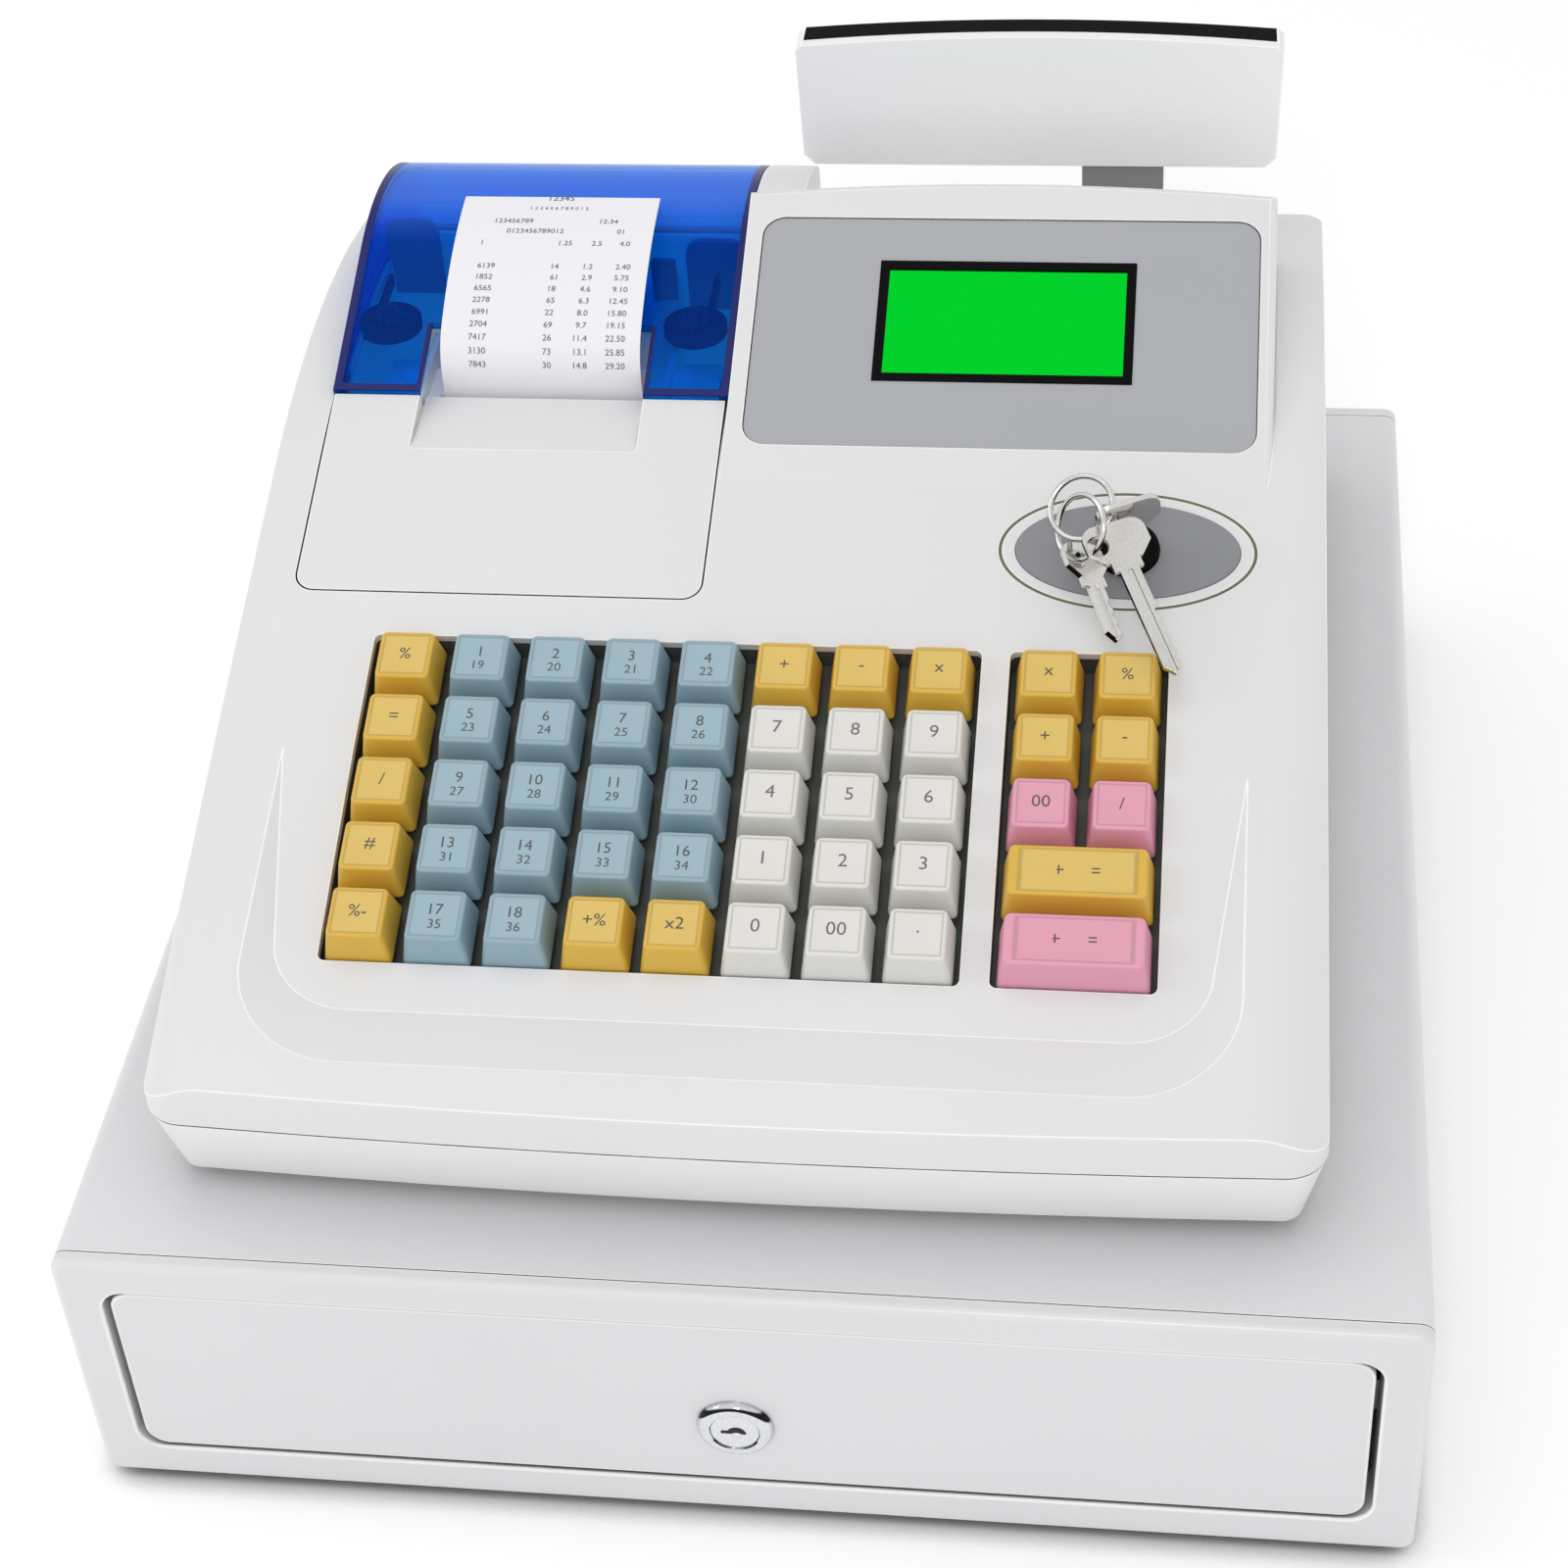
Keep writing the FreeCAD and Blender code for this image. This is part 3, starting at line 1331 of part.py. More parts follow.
def make_display_post():
    """Rectangular post that plugs into the case, with a round spigot on top."""
    top = case_bottom - collar_gap
    foot = box(post_across - post_width / 2, post_across + post_width / 2, post_setback - post_depth / 2,
               post_setback + post_depth / 2, crown_centre_z + crown_radius - post_socket, top)
    spigot = cylinder(collar_radius / 2, Vec(post_across, post_setback, top), Z_AXIS,
                      collar_gap + collar_height)
    return on_register(joined([foot, spigot]))


def case_outline(y, inset):
    """Front view of the customer display at one depth: narrower below, arched above."""
    bottom = case_bottom + inset
    top = case_bottom + case_height - inset
    x0 = case_left + inset
    x1 = case_right - inset
    taper = case_taper
    middle = (x0 + x1) / 2
    return closed_wire([
        Vec(x0 + taper + case_corner, y, bottom), Vec(x1 - taper - case_corner, y, bottom),
        Vec(x1 - taper, y, bottom + case_corner), Vec(x1, y, top - case_corner / 2),
        Vec(x1 - case_corner / 2, y, top),
        (Vec(middle, y, top + case_arch), Vec(x0 + case_corner / 2, y, top)),
        Vec(x0, y, top - case_corner / 2), Vec(x0 + taper, y, bottom + case_corner)])


def display_block():
    """The whole customer display, upright towards the operator, slanted towards the customer."""
    block = Part.Face(case_outline(case_setback, 0)).extrude(Vec(0, case_depth_bottom, 0))
    high = case_bottom + 2 * case_height
    deep = case_setback + case_depth_bottom
    shallow = case_setback + case_depth_top
    slant = side_prism([(shallow, high), (shallow, case_bottom + case_height + case_arch),
                        (deep, case_bottom), (deep, case_bottom - over),
                        (deep + 2 * over, case_bottom - over), (deep + 2 * over, high)],
                       case_left - over, case_right + over)
    return block.cut(slant)


def display_mouth(gap):
    """Room for the window: inside the rim, and open across the top."""
    rim = case_rim + gap
    seam = case_setback + case_back_depth + gap
    front = Part.Face(case_outline(seam, rim)).extrude(Vec(0, case_depth_bottom, 0))
    top = box(case_left + rim, case_right - rim, seam, seam + case_depth_bottom,
              case_bottom + case_height / 2, case_bottom + 2 * case_height)
    return joined([front, top])


def collar_boss(gap):
    return cylinder(collar_radius + gap, Vec(post_across, post_setback, case_bottom), Z_AXIS,
                    collar_height + case_rim + gap)


def make_customer_display_case():
    """Back shell of the customer display with its rim and the socket for the post."""
    block = display_block()
    bore = cylinder(collar_radius / 2 + pin_clearance, Vec(post_across, post_setback, case_bottom - over),
                    Z_AXIS, over + collar_height + running_gap)
    shell = joined([without(block, [display_mouth(0)]), collar_boss(0).common(block)])
    return on_register(without(shell, [bore]))


def make_customer_display_window():
    """Dark window that closes the customer's side and wraps over the top."""
    gap = running_gap / 3
    window = display_block().common(display_mouth(gap))
    return on_register(without(window, [collar_boss(gap)]))


# Back of the register

def make_power_switch():
    """Rocker that tilts on its round hub behind the back wall."""
    half_width = switch_width / 2 - reveal
    half_height = switch_height / 2 - reveal
    depth = plastic_wall
    rocker = side_prism([(-2 * depth, -half_height), (depth * switch_low_share, -half_height), (0, 0),
                         (depth * switch_high_share, half_height), (-2 * depth, half_height)],
                        -half_width, half_width)
    hub = cylinder(switch_hub, Vec(-half_width, 0, 0), X_AXIS, 2 * half_width)
    front = box(-switch_width, switch_width, -depth, 2 * switch_hub, -switch_height, switch_height)
    rocker = joined([rocker, hub.cut(front)])
    return on_register(moved(rocker, switch_across, register_depth - depth, switch_level))


def make_rear_sockets():
    """Mains inlet and the drawer and data ports, set into the back wall."""
    wall = socket_wall
    front = register_depth - socket_block_depth
    back = register_depth - plastic_wall / 2
    half_width = inlet_width / 2 - reveal
    half_height = inlet_height / 2 - reveal
    inlet = box(inlet_across - half_width, inlet_across + half_width, front, back,
                socket_level - half_height, socket_level + half_height)
    well_half = half_width - wall
    well = box(inlet_across - well_half, inlet_across + well_half, back - inlet_depth, back + over,
               socket_level - half_height + wall, socket_level + half_height - wall)
    sockets = [inlet.cut(well)]
    for port in range(port_count):
        across = port_first_across + port * port_pitch
        half = port_width / 2 - reveal
        tall = port_height / 2 - reveal
        block = box(across - half, across + half, front, back, socket_level - tall, socket_level + tall)
        hole = box(across - half + wall, across + half - wall, back - inlet_depth, back + over,
                   socket_level - tall + wall, socket_level + tall - wall)
        sockets.append(block.cut(hole))
    return on_register(Part.makeCompound(sockets))


def build_all():
    shapes = {
        "cabinet_cover": make_cabinet_cover(),
        "cabinet_base": make_cabinet_base(),
        "front_frame": make_front_frame(),
        "drawer_rails": make_drawer_rails(),
        "rubber_feet": make_rubber_feet(),
        "drawer_latch": make_drawer_latch(),
        "drawer_pan": make_drawer_pan(),
        "drawer_front": make_drawer_front(),
        "till_insert": make_till_insert(),
        "drawer_lock_rosette": make_drawer_lock_rosette(),
        "drawer_lock_cylinder": make_drawer_lock_cylinder(),
        "lower_case": make_lower_case(),
        "upper_case": make_upper_case(),
        "keyboard_deck": make_keyboard_deck(),
        "display_panel": make_display_panel(),
        "lcd_bezel": make_lcd_bezel(),
        "lcd_glass": make_lcd_glass(),
        "mode_lock_plate": make_mode_lock_plate(),
        "mode_lock_cylinder": make_mode_lock_cylinder(),
        "mode_key": make_mode_key(),
        "key_ring": make_key_ring(),
        "hanging_keys": make_hanging_keys(),
        "printer_well": make_printer_well(),
        "printer_mechanism": make_printer_mechanism(),
        "platen_roller": make_platen_roller(),
        "paper_roll": make_paper_roll(),
        "printer_flap": make_printer_flap(),
        "printer_window": make_printer_window(),
        "receipt_paper": make_receipt_paper(),
        "display_post": make_display_post(),
        "customer_display_case": make_customer_display_case(),
        "customer_display_window": make_customer_display_window(),
        "power_switch": make_power_switch(),
        "rear_sockets": make_rear_sockets(),
        "function_keys": make_key_group(function_places()),
        "department_keys": make_key_group(department_places()),
    }
    for bay in range(note_bays):
        shapes["bill_clip_%d" % (bay + 1)] = make_bill_clip(bay)
    for name, across, along, extra in single_keys():
        shapes[name] = key_cap(across, along, extra)
    return shapes


def main():
    os.makedirs("parts", exist_ok=True)
    for name, shape in build_all().items():
        shape.exportStep("parts/%s.step" % name)
        print(name, "solids", len(shape.Solids), "valid", shape.isValid(), "volume", round(shape.Volume))


main()
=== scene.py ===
import json
import math

import bpy
import numpy as np
from mathutils import Matrix, Vector


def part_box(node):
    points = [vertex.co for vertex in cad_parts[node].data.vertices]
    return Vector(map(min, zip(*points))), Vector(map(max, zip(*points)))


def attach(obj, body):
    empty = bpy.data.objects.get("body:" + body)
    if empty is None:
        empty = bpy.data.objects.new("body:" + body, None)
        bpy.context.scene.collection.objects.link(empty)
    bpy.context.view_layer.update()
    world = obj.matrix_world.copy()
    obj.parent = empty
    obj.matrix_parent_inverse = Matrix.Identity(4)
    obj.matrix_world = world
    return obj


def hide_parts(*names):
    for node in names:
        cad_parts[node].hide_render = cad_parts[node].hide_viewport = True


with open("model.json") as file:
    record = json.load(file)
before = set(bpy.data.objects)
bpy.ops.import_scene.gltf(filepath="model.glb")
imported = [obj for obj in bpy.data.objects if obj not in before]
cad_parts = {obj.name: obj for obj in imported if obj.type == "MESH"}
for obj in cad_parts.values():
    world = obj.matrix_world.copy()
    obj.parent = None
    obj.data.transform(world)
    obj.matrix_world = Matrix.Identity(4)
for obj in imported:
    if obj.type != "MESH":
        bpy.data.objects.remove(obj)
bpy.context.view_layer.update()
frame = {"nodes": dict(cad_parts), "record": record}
print("stage: solids loaded")

mm = 0.001
registerOffset = np.array([-2.2, -178.4, 95.0])  # corner of the register's own frame
keyFace = {"front": 1.9, "rise": 37.0, "slope": math.radians(16.4)}


def onRegister(x, y, z):
    # the register's own frame, moved to the cabinet's
    return (np.stack(np.broadcast_arrays(x, y, z), -1) + registerOffset) * mm


def onKeyFace(u, v, n):
    # u across, v up the sloping key face, n out of it
    slope = keyFace["slope"]
    y = keyFace["front"] + v * math.cos(slope) - n * math.sin(slope)
    z = keyFace["rise"] + v * math.sin(slope) + n * math.cos(slope)
    return onRegister(u, y, z)


def tone(red, green, blue):
    # a colour written in screen values, 0 to 255, as the light values that a shader takes
    screen = np.array([red, green, blue]) / 255
    light = np.where(screen < 0.04045, screen / 12.92, ((screen + 0.055) / 1.055) ** 2.4)
    return (*(float(part) for part in light), 1.0)


class Wire:
    # a socket that reads like a number in a sum
    def __init__(self, paint, socket):
        self.paint = paint
        self.socket = socket

    def maths(self, kind, *values):
        return self.paint.add("ShaderNodeMath", {"operation": kind}, dict(enumerate(values)))

    def __add__(self, other):
        return self.maths("ADD", self, other)

    def __sub__(self, other):
        return self.maths("SUBTRACT", self, other)

    def __rsub__(self, other):
        return self.maths("SUBTRACT", other, self)

    def __mul__(self, other):
        return self.maths("MULTIPLY", self, other)

    def __abs__(self):
        return self.maths("ABSOLUTE", self)

    __radd__ = __add__
    __rmul__ = __mul__


class Paint:
    # a material, or the world, and the one way of adding nodes to it
    def __init__(self, name, holder=None):
        self.material = holder or bpy.data.materials.new(name)
        self.material.use_nodes = True
        self.material.node_tree.nodes.clear()

    def add(self, kind, settings=None, sockets=None, output=0):
        tree = self.material.node_tree
        made = tree.nodes.new(kind)
        for key, value in (settings or {}).items():
            setattr(made, key, value)
        for key, value in (sockets or {}).items():
            if isinstance(value, Wire):
                tree.links.new(value.socket, made.inputs[key])
            else:
                made.inputs[key].default_value = value
        return Wire(self, None if output is None else made.outputs[output])

    def place(self, scale=(1, 1, 1)):
        # the piece's own coordinates, in metres times the scale
        coordinates = self.add("ShaderNodeTexCoord", output="Object")
        return self.add("ShaderNodeMapping", {}, {"Vector": coordinates, "Scale": scale})

    def noise(self, scale, detail=2.0, stretch=(1, 1, 1)):
        sockets = {"Vector": self.place(stretch), "Scale": scale, "Detail": detail}
        return self.add("ShaderNodeTexNoise", {}, sockets)

    def grey(self, shade):
        # a number made a colour
        return self.add("ShaderNodeCombineColor", {}, {0: shade, 1: shade, 2: shade})

    def openness(self, reach):
        # one in the open, less where other faces stand within the reach
        return self.add("ShaderNodeAmbientOcclusion", {"samples": 4}, {"Distance": reach}, "AO")

    def trueNormal(self):
        return self.add("ShaderNodeNewGeometry", output="Normal")

    def part(self, vector, index):
        # one of a vector's three parts
        return self.add("ShaderNodeSeparateXYZ", {}, {0: vector}, index)

    def mixed(self, amount, first, second, blend="MIX"):
        # colours meet in a Mix node
        settings = {"data_type": "RGBA", "blend_type": blend}
        return self.add("ShaderNodeMix", settings, {0: amount, 6: first, 7: second}, 2)

    def ranged(self, value, low, high, start=0.0, end=1.0):
        sockets = {"Value": value, 1: start, 2: end, 3: low, 4: high}
        return self.add("ShaderNodeMapRange", {}, sockets)

    def softEdge(self, radius):
        return self.add("ShaderNodeBevel", {"samples": 4}, {"Radius": radius * mm})

    def edgeMask(self, rounded, low, high):
        # one where the rounded normal turns away from the true one, as it does beside an edge
        sockets = {0: self.trueNormal(), 1: rounded}
        share = self.add("ShaderNodeVectorMath", {"operation": "DOT_PRODUCT"}, sockets, "Value")
        return self.ranged(share, 1.0, 0.0, low, high)

    def bump(self, height, strength, distance, normal=None):
        sockets = {"Height": height, "Strength": strength, "Distance": distance * mm}
        if normal is not None:
            sockets["Normal"] = normal
        return self.add("ShaderNodeBump", {}, sockets)

    def finish(self, sockets):
        shader = self.add("ShaderNodeBsdfPrincipled", {}, sockets)
        self.output(shader)
        return self.material

    def output(self, shader):
        self.add("ShaderNodeOutputMaterial", {}, {"Surface": shader}, None)


# Finishes

shellPlastic = {"rough": 0.42, "grain": 2200, "depth": 0.012, "edge": 0.6, "coat": 0.4}
finePlastic = {"rough": 0.5, "grain": 1800, "depth": 0.01, "edge": 0.3}
platePlastic = {"rough": 0.5, "grain": 3500, "depth": 0.004}
finishes = {
    "cabinetPaint": {
        "colour": tone(218, 218, 220), "rough": 0.45, "grain": 1500, "depth": 0.02, "edge": 0.6,
        "coat": 0.2, "glint": 0.6, "contact": 0.05,
    },
    "casePlastic": {"colour": tone(219, 219, 220), **shellPlastic, "glint": 0.8},
    "framePlastic": {"colour": tone(213, 213, 215), **shellPlastic, "glint": 0.7},
    "displayCase": {"colour": tone(236, 236, 237), **shellPlastic, "glint": 0.8},
    "tillPlastic": {"colour": tone(52, 53, 55), "rough": 0.5, "grain": 1800, "depth": 0.02, "edge": 0.4},
    "deckPlastic": {"colour": tone(78, 80, 74), "rough": 0.5, "grain": 1800, "depth": 0.02, "edge": 0.2},
    "footRubber": {"colour": tone(38, 38, 39), "rough": 0.75, "grain": 1200, "depth": 0.05, "edge": 0.4},
    "panelGrey": {"colour": tone(166, 167, 172), **platePlastic, "edge": 0.15},
    "lockPlate": {"colour": tone(134, 135, 139), **platePlastic, "edge": 0.3},
    "bezelBlack": {
        "colour": tone(8, 8, 9), "rough": 0.5, "grain": 2500, "depth": 0.003, "edge": 0.2, "gloss": 0.06,
    },
    # the mechanism's plastic has a small painted glow in its own colour, brightening the inside of the
    # printer
    "mechanismPlastic": {"colour": tone(236, 238, 240), **finePlastic, "glow": 0.06},
    "holderPlastic": {"colour": tone(150, 156, 160), **finePlastic},
    "inkRibbon": {"colour": tone(20, 20, 24), "rough": 0.7, "grain": 900, "depth": 0.05, "edge": 0.1},
    "grooveOlive": {"colour": tone(104, 98, 74), "rough": 0.5, "grain": 2500, "depth": 0.002, "edge": 0.1},
    "postGrey": {"colour": tone(134, 134, 136), "rough": 0.5, "grain": 2500, "depth": 0.006, "edge": 0.3},
    "smokedWindow": {
        "colour": tone(4, 4, 4), "rough": 0.3, "grain": 3500, "depth": 0.001, "edge": 0.3, "gloss": 0.03,
    },
    "coreSteel": {
        "colour": tone(20, 22, 26), "rough": 0.25, "grain": 900, "depth": 0.02, "edge": 0.15, "gloss": 1.0,
    },
    "paneEdge": {
        "colour": tone(2, 16, 100), "rough": 0.3, "grain": 2500, "depth": 0.002, "edge": 0.1, "gloss": 0.3,
    },
}

# How moulded surfaces look beside their edges, in their seams and close to another piece: painted highlights
# and painted shade
edgeLook = {
    "pale": tone(255, 254, 248), "light": tone(255, 253, 246), "strength": 0.2, "turned": (0.984, 0.9993),
    "seam": tone(40, 40, 42), "seamReach": 2.2, "seamOpen": (0.28, 0.7),
    "shade": 0.72, "nearOpen": (0.45, 0.85),
}


def moulded(name, colour, rough, grain, depth, edge, coat=0.0, gloss=0.5, glint=0.0, contact=0.0, glow=0.0):
    # moulded or coated surface: fine grain, faint cloudiness, uneven gloss, a painted highlight along its
    # rounded edges, its seams dark with painted shade, greyer with painted shade where another piece stands
    # close, a painted glow if asked
    paint = Paint(name)
    clouds = paint.noise(9.0, 3.0)
    specks = paint.noise(grain, 2.0)
    shade = paint.ranged(clouds, 0.985, 1.015, 0.3, 0.7) * paint.ranged(specks, 0.985, 1.01, 0.25, 0.75)
    rounded = paint.softEdge(edge)
    normal = paint.bump(specks, 0.5, depth, rounded)
    base = paint.mixed(1.0, colour, paint.grey(shade), "MULTIPLY")
    light = {}
    if glint:
        # painted shade: dark in seams and grooves, from how open the surface is within a short reach
        seam = paint.ranged(paint.openness(edgeLook["seamReach"] * mm), 0.0, 1.0, *edgeLook["seamOpen"])
        # painted highlight: a lighter colour and a faint glow beside rounded edges, none inside the seams
        highlightMask = paint.edgeMask(rounded, *edgeLook["turned"]) * seam * glint
        base = paint.mixed(seam, edgeLook["seam"], paint.mixed(highlightMask, base, edgeLook["pale"]))
        glimmer = paint.mixed(highlightMask, tone(0, 0, 0), edgeLook["light"])
        light = {"Emission Color": glimmer, "Emission Strength": edgeLook["strength"]}
    if contact:
        # painted shadow: greyer where another piece stands close, such as the cabinet's top beside the
        # register
        nearShade = paint.ranged(paint.openness(contact), edgeLook["shade"], 1.0, *edgeLook["nearOpen"])
        base = paint.mixed(1.0, base, paint.grey(nearShade), "MULTIPLY")
    if glow:
        # painted glow: the surface's own colour given off as light, though it is no lamp
        light = {"Emission Color": colour, "Emission Strength": glow}
    return paint.finish(
        {
            "Base Color": base,
            **light,
            "Roughness": paint.ranged(paint.noise(40.0, 3.0), rough - 0.05, rough + 0.05, 0.3, 0.7),
            "Specular IOR Level": gloss,
            "Coat Weight": coat,
            "Coat Roughness": 0.22,
            "Normal": normal,
        }
    )


materials = {name: moulded(name, **values) for name, values in finishes.items()}


def platedSteel(name, colour, rough, grain, tint=None, turned=None):
    # rolled and plated metal: fine streaks along one way, soft blotches of gloss, and a painted dark
    # reflection where it faces upwards at a slant, as polished metal shows under a dark ceiling
    paint = Paint(name)
    streaks = paint.noise(60.0, 4.0, grain)
    blotch = paint.noise(70.0, 3.0)
    shade = paint.ranged(streaks, 0.9, 1.05, 0.3, 0.7)
    base = paint.mixed(1.0, colour, paint.grey(shade), "MULTIPLY")
    if tint:
        base = paint.mixed(paint.ranged(blotch, 0.0, 0.35, 0.5, 0.8), base, tint)
    if turned:
        # painted dark reflection: dark where the surface's upward share is close to turned
        upward = paint.part(paint.trueNormal(), 2)
        darkReflection = paint.ranged(abs(upward - turned), 1.0, 0.0, 0.14, 0.2)
        base = paint.mixed(darkReflection, base, tone(38, 38, 40))
    return paint.finish(
        {
            "Base Color": base,
            "Metallic": 1.0,
            "Roughness": paint.ranged(blotch, rough - 0.06, rough + 0.08, 0.3, 0.7),
            "Normal": paint.bump(streaks, 0.15, 0.02, paint.softEdge(0.25)),
        }
    )


materials["steelPlated"] = platedSteel("steelPlated", tone(196, 198, 200), 0.36, (1, 40, 40))
# the lock's chrome ring: a painted dark reflection on its upper slope
materials["lockChrome"] = platedSteel("lockChrome", tone(222, 224, 226), 0.1, (20, 20, 20), turned=0.52)
# the keys: a brass tint in blotches, which is wear, and a painted dark reflection on faces that stand nearly
# upright
worn = {"tint": tone(190, 176, 140), "turned": 0.12}
materials["keySteel"] = platedSteel("keySteel", tone(226, 225, 222), 0.14, (30, 30, 30), **worn)
materials["lockSteel"] = platedSteel("lockSteel", tone(226, 227, 230), 0.16, (20, 20, 20))


def paperFinish():
    # smooth journal paper: faint fibre and a little unevenness
    paint = Paint("receiptPaper")
    fibre = paint.noise(900.0, 3.0, (1, 3, 3))
    return paint.finish(
        {
            "Base Color": paint.mixed(fibre, tone(230, 229, 233), tone(236, 235, 240)),
            "Roughness": 0.7,
            "Normal": paint.bump(fibre, 0.2, 0.02),
        }
    )


materials["receiptPaper"] = paperFinish()

windowLook = {
    "clear": (0.06, 0.66, 1.0, 1.0), "body": tone(2, 98, 244), "haze": 0.1, "rough": (0.06, 0.12),
    "bend": 1.25, "mirror": 0.6, "gloss": 0.3, "veil": tone(112, 156, 246), "top": 0.16,
    "edge": tone(2, 20, 92), "edgeRound": 1.2, "edgeTurned": (0.86, 0.97), "edgeShare": 0.85,
}


def clearBlue():
    # clear tinted plastic: light passes straight through, gloss from Fresnel, some body colour, a painted
    # light-blue sheen where it turns upwards and a dark rim
    paint = Paint("windowBlue")
    look = windowLook
    # level: one where the pane stops facing the front; there it takes the painted sheen and more body colour
    level = paint.ranged(paint.part(paint.trueNormal(), 1), 0.0, 1.0, -0.28, 0.0)
    through = paint.add("ShaderNodeBsdfTransparent", {}, {"Color": look["clear"]})
    body = paint.add(
        "ShaderNodeBsdfPrincipled",
        {},
        {
            "Base Color": paint.mixed(level, look["body"], look["veil"]),
            "Roughness": paint.ranged(paint.noise(30.0, 3.0), *look["rough"], 0.3, 0.7),
            "Specular IOR Level": look["gloss"],
            "Normal": paint.softEdge(0.4),
        },
    )
    fresnel = paint.add("ShaderNodeFresnel", {}, {"IOR": look["bend"]})
    amount = fresnel * look["mirror"] + level * look["top"] + look["haze"]
    shader = paint.add("ShaderNodeMixShader", {}, {0: amount, 1: through, 2: body})
    rimSockets = {"Base Color": look["edge"], "Roughness": 0.2, "Specular IOR Level": look["gloss"]}
    dark = paint.add("ShaderNodeBsdfPrincipled", {}, rimSockets)
    rim = paint.edgeMask(paint.softEdge(look["edgeRound"]), *look["edgeTurned"]) * look["edgeShare"]
    paint.output(paint.add("ShaderNodeMixShader", {}, {0: rim, 1: shader, 2: dark}))
    return paint.material


materials["windowBlue"] = clearBlue()

screenLook = {"lit": tone(4, 210, 45), "cell": tone(4, 208, 44), "strength": 0.97, "cells": 900.0}


def litScreen():
    # even backlight with the faint squares of the unlit dots
    paint = Paint("screenGreen")
    sockets = {"Vector": paint.place(), "Color1": screenLook["lit"], "Color2": screenLook["cell"]}
    checks = paint.add("ShaderNodeTexChecker", {}, {**sockets, "Scale": screenLook["cells"]})
    return paint.finish(
        {
            "Base Color": (0.0, 0.02, 0.0, 1.0),
            "Roughness": 0.5,
            "Emission Color": checks,
            "Emission Strength": screenLook["strength"],
            "Specular IOR Level": 0.0,
        }
    )


materials["screenGreen"] = litScreen()

capColours = {
    "Yellow": {"skirt": tone(212, 170, 62), "label": tone(212, 180, 92)},
    "Blue": {"skirt": tone(137, 165, 177), "label": tone(145, 172, 184)},
    "White": {"skirt": tone(214, 213, 208), "label": tone(214, 212, 207)},
    "Pink": {"skirt": tone(220, 150, 174), "label": tone(218, 150, 170)},
}


def capFinish(name, skirt, label):
    # a moulded cap whose label square lies under the clear top; the UV map holds the cap's own
    # coordinates, -1 to 1 across the top
    paint = Paint("keycap" + name)
    spot = paint.add("ShaderNodeUVMap", {"uv_map": "UVMap"})
    across, along = paint.part(spot, 0), paint.part(spot, 1)
    edge = across.maths("MAXIMUM", abs(across), abs(along))
    inside = paint.ranged(edge, 1.0, 0.0, 0.80, 0.84)
    line = paint.ranged(abs(edge - 0.83), 1.0, 0.0, 0.02, 0.05)
    specks = paint.noise(1500.0, 2.0)
    base = paint.mixed(inside, skirt, label)
    base = paint.mixed(line * 0.35, base, tone(120, 105, 80))
    worn = paint.ranged(paint.noise(60.0, 3.0), 0.0, 0.12)
    base = paint.mixed(worn, base, tone(255, 255, 255), "SOFT_LIGHT")
    return paint.finish(
        {
            "Base Color": base,
            "Roughness": paint.ranged(inside, 0.45, 0.3),
            "Normal": paint.bump(specks, 0.3, 0.01),
        }
    )


for name, values in capColours.items():
    materials["keycap" + name] = capFinish(name, **values)


def inkFinish(name, colour):
    paint = Paint(name)
    return paint.finish(
        {"Base Color": paint.mixed(paint.noise(2500.0), colour, tone(90, 88, 84)), "Roughness": 0.55}
    )


materials["keyInk"] = inkFinish("keyInk", tone(72, 70, 64))
materials["numberInk"] = inkFinish("numberInk", tone(120, 118, 112))
materials["ticketInk"] = inkFinish("ticketInk", tone(96, 96, 100))
print("stage: finishes made")


def slotFinish(slotName):
    # the record's slot names are the finish names with an underscore
    first, *rest = slotName.split("_")
    return materials[first + "".join(word.capitalize() for word in rest)]


slotOf = {row["node"]: row["material_slot"] for row in frame["record"]["subparts"]}
ownFinish = {
    "mode_lock_plate": "lockPlate", "display_post": "postGrey", "customer_display_window": "smokedWindow",
    "printer_mechanism": "mechanismPlastic", "printer_well": "mechanismPlastic",
    "customer_display_case": "displayCase", "lower_case": "displayCase", "front_frame": "framePlastic",
    "drawer_front": "framePlastic",
}
for nodeName, solid in frame["nodes"].items():
    solid.data.materials.clear()
    if nodeName in ownFinish:
        solid.data.materials.append(materials[ownFinish[nodeName]])
    else:
        solid.data.materials.append(slotFinish(slotOf[nodeName]))


def makePiece(name, points, faces, finish, body, smooth=True, slotName=None, uv=None):
    # a mesh from whole arrays, riding on a body of the model
    mesh = bpy.data.meshes.new(name)
    mesh.from_pydata(points.reshape(-1, 3).tolist(), [], [list(face) for face in faces])
    mesh.polygons.foreach_set("use_smooth", np.full(len(mesh.polygons), smooth))
    if uv is not None:
        corners = np.empty(len(mesh.loops), int)
        mesh.loops.foreach_get("vertex_index", corners)
        mesh.uv_layers.new(name="UVMap").data.foreach_set("uv", uv.reshape(-1, 2)[corners].ravel())
    mesh.materials.append(finish)
    mesh.update()
    piece = bpy.data.objects.new(name, mesh)
    bpy.context.scene.collection.objects.link(piece)
    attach(piece, body)
    return piece


def loopFaces(rows, columns, start=0, wrapped=False):
    # quads between rings that close on themselves; wrapped, the last ring also joins the first
    ring, step = np.meshgrid(np.arange(rows - 1 + wrapped), np.arange(columns), indexing="ij")
    following = (step + 1) % columns
    above = (ring + 1) % rows
    corners = [ring * columns + step, ring * columns + following]
    corners += [above * columns + following, above * columns + step]
    return np.stack(corners, -1).reshape(-1, 4) + start


def poleFaces(ring, pole, flipped=False):
    # a fan from one ring of points to a pole
    following = np.roll(ring, -1)
    pair = [following, ring] if flipped else [ring, following]
    return np.stack([*pair, np.full_like(ring, pole)], -1)


def pointCount(parts):
    return sum(len(part) for part in parts)


